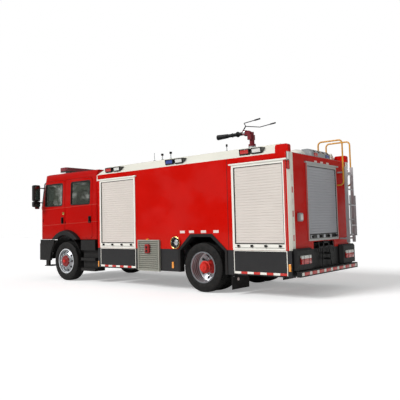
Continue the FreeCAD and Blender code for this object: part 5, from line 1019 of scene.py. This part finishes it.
# Back: corner lamps, dashes, reflectors, tail lamps, the bar's blocks, lamp row, work lamp and tow struts
rearTrim = {
    "corner": (3.736, 1.226), "cornerLamp": (0.046, 0.150), "lampShape": (0.020, 0.012, 0.008, 0.003, 0.004),
    "lampRim": (0.060, 0.160, 0.008, 0.014, 0.004), "cornerZ": ((2.500, "clear"), (2.335, "red")),
    "dash": (0.036, 0.105, 0.002, 0.001, 0.0008), "dashY": 1.150,
    "dashZ": (1.06, 1.27, 1.48, 1.69, 1.90, 2.11), "tailY": 0.917, "tailWide": 0.356, "tailGap": 0.006,
    "tailShape": (0.008, 0.006, 0.003, 0.003), "rib": (0.0125, 0.002, 0.002), "ribY": (-0.09, 0.09),
    "tails": ((0.602, 0.690, "red"), (0.694, 0.752, "clear")),
    "reflectors": ((-0.230, 2.463, 0.105), (0.020, 2.463, 0.105), (0.270, 2.463, 0.105),
                   (0.600, 1.335, 0.060)), "barZ": 0.440, "barY": 0.5, "away": 0.5, "barHalf": 1.180,
    "barBlocks": 17, "blockShares": (0.62, 1.3), "block": (0.056, 0.002, 0.001, 0.0006),
    "reflector": (0.034, 0.004), "spot": (0.026, 0.006, 0.002, 0.003, 18),
    "rowLens": (0.150, 0.060, 0.012, 0.012, 0.005, 0.004, 0.004), "spotY": (-0.24, -0.06, 0.13, 0.31),
    "spotZ": 2.66, "rowLenses": ((-0.23, "red"), (0.26, "blue")), "rowZ": 2.597, "workLamp": (-0.95, 1.42),
    "workBox": (0.110, 0.150, 0.060, 0.016, 0.012, 0.003),
    "workGlass": (0.086, 0.100, 0.006, 0.010, 0.003, 0.002, 0.004),
    "slopes": (((0.030, 0.10, 0.965), (0.052, 0.20, 0.500), 0.040, 0.014),
               ((0.034, 0.30, 0.965), (0.040, 0.30, 0.760), 0.030, 0.012)),
    "rungs": ((0.040, 0.31, 0.860, 0.012), (0.034, 0.115, 0.945, 0.014)), "rungWide": 0.036,
    "boltAt": (0.045, 0.105), "bolt": (0.011, 0.009), "boltTurn": 0.3,
}


def buildRear(lenses, pearl, white, redBlock, black, steel, grey):
    t = rearTrim
    glass = {"clear": [], "red": [], "blue": []}
    dashes, redDashes, ribs = [], [], []
    for side, _ in sides:
        ahead = unit((-1, -side, 0))
        for z, tint in t["cornerZ"]:
            start = np.array([t["corner"][0], side * t["corner"][1], z]) - ahead * t["away"]
            at, out = touch("corner_posts", start, ahead)
            glass[tint].append(plaque(at, out, *t["cornerLamp"], *t["lampShape"]))
            ribs.append(plaque(at, out, *t["lampRim"]))
        for i, z in enumerate(t["dashZ"]):
            at, _ = fromBack("corner_posts", side * t["dashY"], z)
            (dashes if i % 2 else redDashes).append(plaque(at, backward, *t["dash"]))
        for low, high, tint in t["tails"]:
            at, out = fromBack("lamps", side * t["tailY"], (low + high) / 2)
            tall = high - low - t["tailGap"]
            glass[tint].append(plaque(at, out, t["tailWide"], tall, *t["tailShape"]))
            ribs += [plaque(at + (0, y, 0), out, t["tailGap"], tall, *t["rib"]) for y in t["ribY"]]
    for y, z, wide in t["reflectors"]:
        dashes.append(plaque(fromBack("body_shell", y, z)[0], backward, wide, *t["reflector"]))
    # blocks along the bar, white first and last
    wide = 2 * t["barHalf"] / t["barBlocks"]
    x = fromBack("rear_bumper", t["barY"], t["barZ"])[0][0]
    blocks = []
    for i in range(t["barBlocks"]):
        at = (x, (i + 0.5) * wide - t["barHalf"], t["barZ"])
        blocks.append(plaque(at, backward, wide * t["blockShares"][i % 2], *t["block"]))
    # lamp row over the shutter: four dark lamps, with a red and a blue lens below them
    spots = [disc(*fromBack("lamps", y, t["spotZ"]), *t["spot"]) for y in t["spotY"]]
    for y, tint in t["rowLenses"]:
        glass[tint].append(plaque(*fromBack("lamps", y, t["rowZ"]), *t["rowLens"]))
    at, _ = fromBack("body_shell", *t["workLamp"])
    box = plaque(at, backward, *t["workBox"])
    glass["clear"].append(plaque(at + (t["workBox"][2], 0, 0), backward, *t["workGlass"]))
    publish("rear_bar_blocks_white", blocks[::2], white)
    publish("rear_bar_blocks_red", blocks[1::2], redBlock)
    publish("rear_lamp_spots", spots, black)
    publish("work_lamp", [box], grey)
    for tint, parts in glass.items():
        publish("rear_lenses_" + tint, parts, lenses[tint])
    publish("tail_lamp_ribs", ribs, black)
    publish("rear_reflectors", dashes, pearl)
    publish("rear_edge_dashes_red", redDashes, redBlock)
    origin, struts = np.array([place["bodyRearX"], 0, 0]), []
    for side, _ in sides:
        mirror = (1, side, 1)
        struts += [strap(origin + np.multiply(top, mirror), origin + np.multiply(foot, mirror), wide, thick)
                   for top, foot, wide, thick in t["slopes"]]
    struts += [strap(origin + (x, -half, z), origin + (x, half, z), t["rungWide"], thick)
               for x, half, z, thick in t["rungs"]]
    x, y = t["boltAt"]
    struts += [nut(origin + (x, side * y, rung[2]), backward, *t["bolt"], t["boltTurn"] * side)
               for side, _ in sides for rung in t["rungs"]]
    publish("tow_struts", struts, steel)
    print("corner lamps, dashes, lenses, bar blocks, work lamp and tow struts")


mudflapTrim = {
    "behind": 3.2, "reflectorAt": (1.02, 0.285), "reflector": (0.030, 0.010, 0.003, 0.003, 24),
    "boltsAt": ((0.80, 0.345), (1.16, 0.345)), "bolt": (0.010, 0.008),
}


def buildMudflapTrim(pearl, steel):
    # a round reflector on the back of each flap, and the two bolts that hold the flap
    t = mudflapTrim
    parts, bolts = [], []
    for side, _ in sides:
        y, z = t["reflectorAt"]
        at, _ = touch("wheel_guards", (t["behind"], side * y, z), forward)
        parts.append(disc(at, backward, *t["reflector"]))
        for y, z in t["boltsAt"]:
            at, _ = touch("wheel_guards", (t["behind"], side * y, z), forward)
            bolts.append(nut(at, backward, *t["bolt"]))
    publish("mudflap_reflectors", parts, pearl)
    publish("mudflap_bolts", bolts, steel)
    print("mudflap reflectors")


# Cab: rubber round the glass, badges, wipers, headlamp rims, plate, grille strips and mirror glass
cabTrim = {
    "belt": 1.850, "lean": 0.035 / 0.912, "screenLean": 0.190 / 0.912, "corner": 0.045,
    "frontWindow": (-3.710, -2.950), "rearWindow": (-2.585, -1.825), "windowZ": (1.905, 2.478),
    "screen": (2.088, 0.738, 0.060), "screenMiddle": 2.195, "badge": (-2.898, 1.700), "handleZ": 1.520,
    "frontHandle": -2.942, "rearHandle": -1.826, "keyhole": (0.030, 0.004, -0.064), "wipers": (0.62, -0.10),
    "wiperRoot": (0.012, 1.800), "wiperTip": (0.42, 0.018, 0.36, 2.270), "blade": (0.19, 0.10),
    "headlamp": (-4.050, 0.900, 0.690), "lampOuter": (0.356, 0.206, 0.040),
    "lampInner": (0.318, 0.168, 0.024), "lampSwell": 1.04,
    "lampRises": (-0.004, 0.004, 0.0075, 0.006, -0.004), "beadSunk": 0.004, "indicator": (0.86, 1.35),
    "plateZ": 0.610, "grille": (1.200, 1.290, 1.380, 1.470, 1.560), "mirrorX": -3.3, "mirrorY": 1.340,
    "mirrors": ((2.270, 0.150, 0.360), (1.900, 0.140, 0.110)), "bead": (0.034, 0.012, 0.005, 2),
    "cup": (0.112, 0.172, 0.007, 0.026, 0.004, 0.003, -0.004), "lock": (0.009, 0.006, 0.002, 0.001, 16),
    "badgeShape": (0.040, 0.006, 0.002, 0.002, 32), "screenBead": (0.030, 0.014, 0.006, 2),
    "pivot": (0.022, 0.024, 0.005, 0.003, 20), "armOut": 0.010, "armRadius": 0.008,
    "bladeLoop": (0.014, 0.020, 0.005, 2), "indicatorShape": (0.060, 0.130, 0.014, 0.010, 0.005),
    "plate": (0.460, 0.115, 0.006, 0.010), "strip": (1.180, 0.016, 0.006, 0.004, 0.003),
    "mirrorShape": (0.004, 0.022, 0.002),
}


def windowGasket(x0, x1, z0, z1, side):
    # bead round the pane, on a flank that stands upright to the belt and leans in above it
    t = cabTrim
    x, z = (roundLoop(x1 - x0, z1 - z0, t["corner"], 6) + ((x0 + x1) / 2, (z0 + z1) / 2)).T
    y = side * (place["cabHalfWidth"] - np.maximum(z - t["belt"], 0) * t["lean"] - t["beadSunk"])
    return sweep(np.stack([x, y, z], -1), (0, side, t["lean"]), roundLoop(*t["bead"]), closed=True)


def buildDoorTrim(rubber, black, gold):
    t = cabTrim
    for row, side, tag in corners:
        out = np.array([0, side, 0])
        gasket = windowGasket(*t[row + "Window"], *t["windowZ"], side)
        publish("window_gasket_" + tag, [gasket], rubber, "door_" + tag)
        at = np.array([t[row + "Handle"], side * place["cabHalfWidth"], t["handleZ"]])
        keyhole = at + np.multiply(t["keyhole"], (1, side, 1))
        cup = [plaque(at, out, *t["cup"]), disc(keyhole, out, *t["lock"])]
        publish("handle_cup_" + tag, cup, black, "door_" + tag)
    for side, name in sides:
        x, z = t["badge"]
        badge = disc((x, side * place["cabHalfWidth"], z), (0, side, 0), *t["badgeShape"])
        publish("blank_badge_" + name, [badge], gold, "door_front_" + name)
    print("window gaskets, handle cups and badges")


def buildScreenTrim(rubber, black):
    # the windscreen's gasket on the leaning face, and each wiper's pivot, arm and blade
    t = cabTrim
    front, lean = place["cabFrontX"], t["screenLean"]
    out = unit((-1, 0, lean))
    y, z = (roundLoop(*t["screen"], 8) + (0, t["screenMiddle"])).T
    path = np.stack([front + np.maximum(z - t["belt"], 0) * lean, y, z], -1)
    gasket = sweep(path, out, roundLoop(*t["screenBead"]), closed=True)
    publish("windscreen_gasket", [gasket], rubber, "cab")
    wipers = []
    reach, tipOut, across, tipZ = t["wiperTip"]
    half, turn = t["blade"]
    for pivot in t["wipers"]:
        root = np.array([front - t["wiperRoot"][0], pivot, t["wiperRoot"][1]])
        tip = np.array([front + reach * lean - tipOut, pivot - across, tipZ])
        step = np.array([t["armOut"], 0, 0])
        wipers += [disc(root + step, forward, *t["pivot"]), rod(root - step, tip, t["armRadius"])]
        ends = [tip + (-half * lean, turn, -half), tip + (half * lean, -turn, half)]
        wipers.append(sweep(ends, out, roundLoop(*t["bladeLoop"])))
    publish("wipers", wipers, black, "cab")
    print("windscreen gasket and wipers")


def buildCabTrim(black, steel, lenses, white, mirror):
    t = cabTrim
    bezels, ambers, glass = [], [], []
    outer, inner = roundLoop(*t["lampOuter"], 5), roundLoop(*t["lampInner"], 5)
    steps = list(zip((outer, outer, inner * t["lampSwell"], inner, inner), t["lampRises"]))
    for side, _ in sides:
        at = np.array(t["headlamp"]) * (1, side, 1)
        rings = [np.insert(loop, 0, -rise, 1) + at for loop, rise in steps]
        bezels.append(tube(np.array(rings), closed=True))
        y, z = t["indicator"]
        ambers.append(plaque(*fromFront("cab_shell", side * y, z), *t["indicatorShape"]))
        for z, wide, high in t["mirrors"]:
            at, out = touch("mirrors", (t["mirrorX"], side * t["mirrorY"], z), forward)
            glass.append(plaque(at, out, wide, high, *t["mirrorShape"]))
    plate = plaque(*fromFront("front_bumper", 0.0, t["plateZ"]), *t["plate"])
    strips = [plaque(fromFront("cab_trim", 0.0, z)[0], forward, *t["strip"])
              for z in t["grille"]]
    publish("headlamp_bezels", bezels, black)
    publish("front_indicators", ambers, lenses["amber"], "cab")
    publish("blank_plate_front", [plate], white)
    publish("grille_strips", strips, steel, "cab")
    publish("mirror_glass", glass, mirror, "cab")
    print("lamp faces, plate, grille strips and mirror glass")


# Seats: crowned cushions with sewn channels and piping on their pedestals
seating = {
    "floorZ": 1.370, "base": 0.180, "thick": 0.130, "depth": 0.470, "backHigh": 0.640, "backThick": 0.120,
    "lean": 0.090, "frontX": -3.310, "frontY": 0.520, "frontWide": 0.480, "benchX": -2.1633,
    "benchHalf": 0.976, "benchPlaces": 4, "corner": 0.42, "seams": (-0.42, 0.42), "rows": 36, "cols": 56,
    "piping": 0.0045, "fill": 0.7, "gap": 0.004, "fullShares": (0.86, 0.84), "crowns": (0.16, 0.05),
    "baseBack": 0.016, "baseIn": (0.11, 0.13), "baseSunk": 0.006, "sideGap": 0.003,
    "pipingIn": (0.012, 0.010), "pipingCorner": (0.060, 5), "cornerShare": 0.8, "crownPower": 0.4,
    "seamDeep": 0.10, "seamHalf": 0.035, "seamPower": 0.3, "waistDeep": 0.030, "waistHalf": 0.10,
    "baseEdge": (0.030, 0.012),
}


def pad(centre, half, crown, seams=(), turn=0.0):
    # closed superellipsoid: each axis is a rounded power of cosine and sine, swollen towards the middle of
    # its faces by crown, pulled in along the waist for the piping, pinched along each seam, turned about y
    def power(s, e):
        return np.sign(s) * np.abs(s) ** e

    t = seating
    corner = t["corner"]
    v = np.linspace(-np.pi / 2, np.pi / 2, t["rows"])[:, None]
    u = np.linspace(0, 2 * np.pi, t["cols"], endpoint=False)[None, :]
    x = power(np.cos(v), corner) * power(np.cos(u), corner * t["cornerShare"])
    y = power(np.cos(v), corner) * power(np.sin(u), corner * t["cornerShare"])
    z = power(np.sin(v), corner) + 0 * u
    rise = crown * np.clip(1 - x ** 2, 0, 1) * np.clip(1 - y ** 2, 0, 1)
    rise = rise * np.sign(z) * np.abs(np.sin(v)) ** t["crownPower"]
    for seam in seams:
        pinch = np.sign(z) * t["seamDeep"] * np.exp(-((y - seam) / t["seamHalf"]) ** 2)
        rise = rise - pinch * np.abs(np.sin(v)) ** t["seamPower"]
    waist = 1 - t["waistDeep"] * np.exp(-(np.sin(v) / t["waistHalf"]) ** 2)
    grid = np.stack([x * waist * half[0], y * waist * half[1], (z + rise) * half[2]], -1)
    c, s = math.cos(turn), math.sin(turn)
    return tube((grid @ np.array([(c, 0, s), (0, 1, 0), (-s, 0, c)]).T + np.asarray(centre))[1:-1])


def buildSeats(cloth, vinyl, plastic):
    t = seating
    depth, thick = t["depth"], t["thick"]
    top, lean = t["floorZ"] + t["base"], math.atan2(t["lean"], t["backHigh"])
    seats = [(name, t["frontX"], side * t["frontY"], t["frontWide"]) for side, name in sides]
    wide = 2 * t["benchHalf"] / t["benchPlaces"]
    seats += [("bench_" + str(i + 1), t["benchX"], (i + 0.5) * wide - t["benchHalf"], wide - t["gap"])
              for i in range(t["benchPlaces"])]
    bases, piping, replaced = [], [], ["seats"]
    turn = np.linspace(0, 2 * np.pi, 8, endpoint=False)
    cord = np.stack([np.cos(turn), np.sin(turn)], -1) * t["piping"]
    for name, x, y, width in seats:
        middle, half = x + depth / 2, width / 2 - t["sideGap"]
        halves = (depth / 2 - t["gap"], half, thick / 2 * t["fullShares"][0])
        cushion = pad((middle, y, top + thick / 2), halves, t["crowns"][0], t["seams"])
        at = (x + depth - t["backThick"] / 2 + t["lean"] / 2, y, top + thick + t["backHigh"] / 2)
        halves = (t["backThick"] / 2 * t["fullShares"][1], half, t["backHigh"] / 2 - t["gap"])
        back = pad(at, halves, t["crowns"][1], turn=lean)
        padSeat = publish("seat_cushion_" + name, [cushion], cloth, "cab", replaced, 60)
        padBack = publish("seat_back_" + name, [back], cloth, "cab", (), 60)
        replaced = ()
        loop = roundLoop(depth - t["pipingIn"][0], width - t["pipingIn"][1], *t["pipingCorner"])
        path = np.insert(loop, 2, 0, 1) + (middle, y, top + thick * 0.5)
        piping.append(sweep(path, upward, cord, closed=True))
        size = (depth - t["baseIn"][0], width - t["baseIn"][1], t["base"] + t["baseSunk"], *t["baseEdge"])
        bases.append(plaque((middle + t["baseBack"], y, t["floorZ"]), upward, *size, rise=(0, 1, 0)))
    publish("seat_piping", piping, vinyl, "cab")
    publish("seat_pedestals", bases, plastic, "cab")
    print("seats: cushions, backs, piping and pedestals")


# Under the cab: shields on the rails, dark strips over the bumper's ends and across its front as painted
# shade in the gap below the cab, plates behind the front rims; an apron
underCab = {
    "shieldX": (-3.90, -1.62), "shieldZ": (0.86, 1.029), "thick": 0.006, "railY": 0.430, "stripFoot": 0.917,
    "stripHalf": 0.012, "stripY": 1.180, "stripEnd": -3.25, "bend": (-3.80, 0.955, 0.225),
    "steps": ((0.0, 36.0, 1.029), (36.0, 60.0, 0.985), (60.0, 76.0, 0.950)),
    "frontGapShade": (-3.985, 0.915, 0.998), "frontGapShades": ((-1.0, -0.41), (-0.28, 0.28), (0.41, 1.0)),
    "frontGapShadeThick": 0.008, "apron": (3.757, 0.0, 0.455), "apronSize": (2.36, 0.11), "plateY": 0.936,
    "plateRadius": 0.255,
}


def buildUnderCab():
    black = moulded("shieldMoulding", "blackPlastic")
    steel = paintPlain("backPlateSteel", "blackSteel", 0.6, 0.04)
    u = underCab
    shields, strips = [], []
    (x0, x1), (z0, z1) = u["shieldX"], u["shieldZ"]
    cx, cy, radius = u["bend"]
    foot, half, thick, r = u["stripFoot"], u["stripHalf"], u["thick"], u["plateRadius"]
    for side, name in sides:
        out = (0, side, 0)
        at = ((x0 + x1) / 2, side * u["railY"], (z0 + z1) / 2)
        shields.append(plaque(at, out, x1 - x0, z1 - z0, thick))
        # these dark strips fill the gap between the cab and the bumper as its painted shade
        # each strip is lower than the one before it, so that the tilting cab clears them
        for first, last, top in u["steps"]:
            a = np.radians(np.linspace(first, last, 7))
            path = np.stack([cx - radius * np.sin(a), side * (cy + radius * np.cos(a)), np.full(7, foot)], 1)
            if not first:
                path = np.insert(path, 0, (u["stripEnd"], side * u["stripY"], foot), 0)
            wall = [(-half, 0), (half, 0), (half, top - foot), (-half, top - foot)]
            strips.append(sweep(path, upward, wall))
        at = (place["frontAxleX"], side * u["plateY"], place["axleZ"])
        plate = lathe(at, out, [(0, 0.002), (0, r - 0.003), (0.002, r), (thick, r), (thick, 0.002)], 48)
        publish("back_plate_" + name, [plate], steel, "knuckle_" + name)
    # dark sheets across the front of that gap, as painted shade too
    x, low, high = u["frontGapShade"]
    for left, right in u["frontGapShades"]:
        at = (x, (left + right) / 2, (low + high) / 2)
        strips.append(plaque(at, forward, right - left, high - low, u["frontGapShadeThick"]))
    shields.append(plaque(u["apron"], backward, *u["apronSize"], thick))
    publish("splash_shields", shields, black)
    publish("bumper_gap_shade_strips", strips, black)
    print("shields, bumper strips and back plates")


def lensFinish(name, base):
    # ribbed coloured plastic over a brighter inside
    f = Finish(name, rough=0.12, coat=0.6, coatRough=0.04)
    cells = (f.x + f.y).wave(looks["cells"]) * f.z.wave(looks["cells"])
    f.color(cells.remap(*looks["cellTone"]).blend(base, shade(base, *looks["cellShade"])))
    f.bump(cells, *looks["cellRelief"])
    return f


def pearlFinish(name, base):
    # reflective tape: a fine honeycomb of small prisms
    f = Finish(name, rough=0.28, coat=0.5)
    given = {"Vector": f.coords, "Scale": looks["prisms"]}
    edge = node(f.tree, "TexVoronoi", given, "Distance", feature="DISTANCE_TO_EDGE")
    f.color(edge.remap(*looks["prismTone"]).blend(shade(base, looks["prismShade"]), base))
    f.bump(edge, *looks["prismRelief"])
    return f


def clothFinish(name, base):
    # woven cover: two sets of threads over and under each other
    f = Finish(name, rough=0.85)
    f.set("Sheen Weight", looks["sheen"])
    threads = (f.x + f.z).wave(looks["threads"]) * f.y.wave(looks["threads"])
    dark, light = f.varied(base, *looks["clothPatch"]), shade(base, *looks["threadShade"])
    f.color(threads.remap(*looks["threadTone"]).blend(dark, light))
    f.bump(threads, *looks["threadRelief"])
    return f


placeCamera()
buildStudio()
finishFrame()

rubberSeal = moulded("sealRubber", "rubber", 0.6, 300.0)
blackParts = moulded("blackParts", "blackPlastic", 0.45)
whiteStrip = paintPale("whiteStrip", "trimWhite")
redTape = pearlFinish("redTape", "tapeRed")
pearlTape = pearlFinish("pearlTape", "tapePearl")
goldRing = bareMetal("goldRing", "gold", 0.2)
brightSteel = bareMetal("brightSteel", "rim", 0.24)
fittingRed = paintPlain("fittingRed", "fitting")
greyCase = paintPlain("greyCase", "greyCase", 0.45, 0.04)
darkSteel = paintPlain("darkSteel", "blackSteel", 0.5, 0.04)
mirrorFace = bareMetal("mirrorFace", "mirror", 0.16)
lensColors = {"red": "lensRed", "blue": "lensBlue", "clear": "lensClear", "amber": "amber"}
lenses = {tint: lensFinish("lens_" + tint, base) for tint, base in lensColors.items()}

buildTyres()
buildWheelTrim()
buildFlapTrim(whiteStrip, redTape)
buildShutterTrim(rubberSeal, blackParts)
buildSides(pearlTape, lenses["amber"], fittingRed, goldRing, brightSteel, blackParts)
buildSideLamps(lenses, blackParts)
buildRoofFittings(whiteStrip, blackParts, brightSteel)
buildMonitorTrim(brightSteel, blackParts)
buildRear(lenses, pearlTape, whiteStrip, redTape, blackParts, darkSteel, greyCase)
buildMudflapTrim(pearlTape, brightSteel)
buildUnderCab()
buildDoorTrim(rubberSeal, blackParts, goldRing)
buildScreenTrim(rubberSeal, blackParts)
buildCabTrim(blackParts, brightSteel, lenses, whiteStrip, mirrorFace)
buildSeats(clothFinish("seatCloth", "seat"), moulded("pipingVinyl", "dash", 0.5), blackParts)
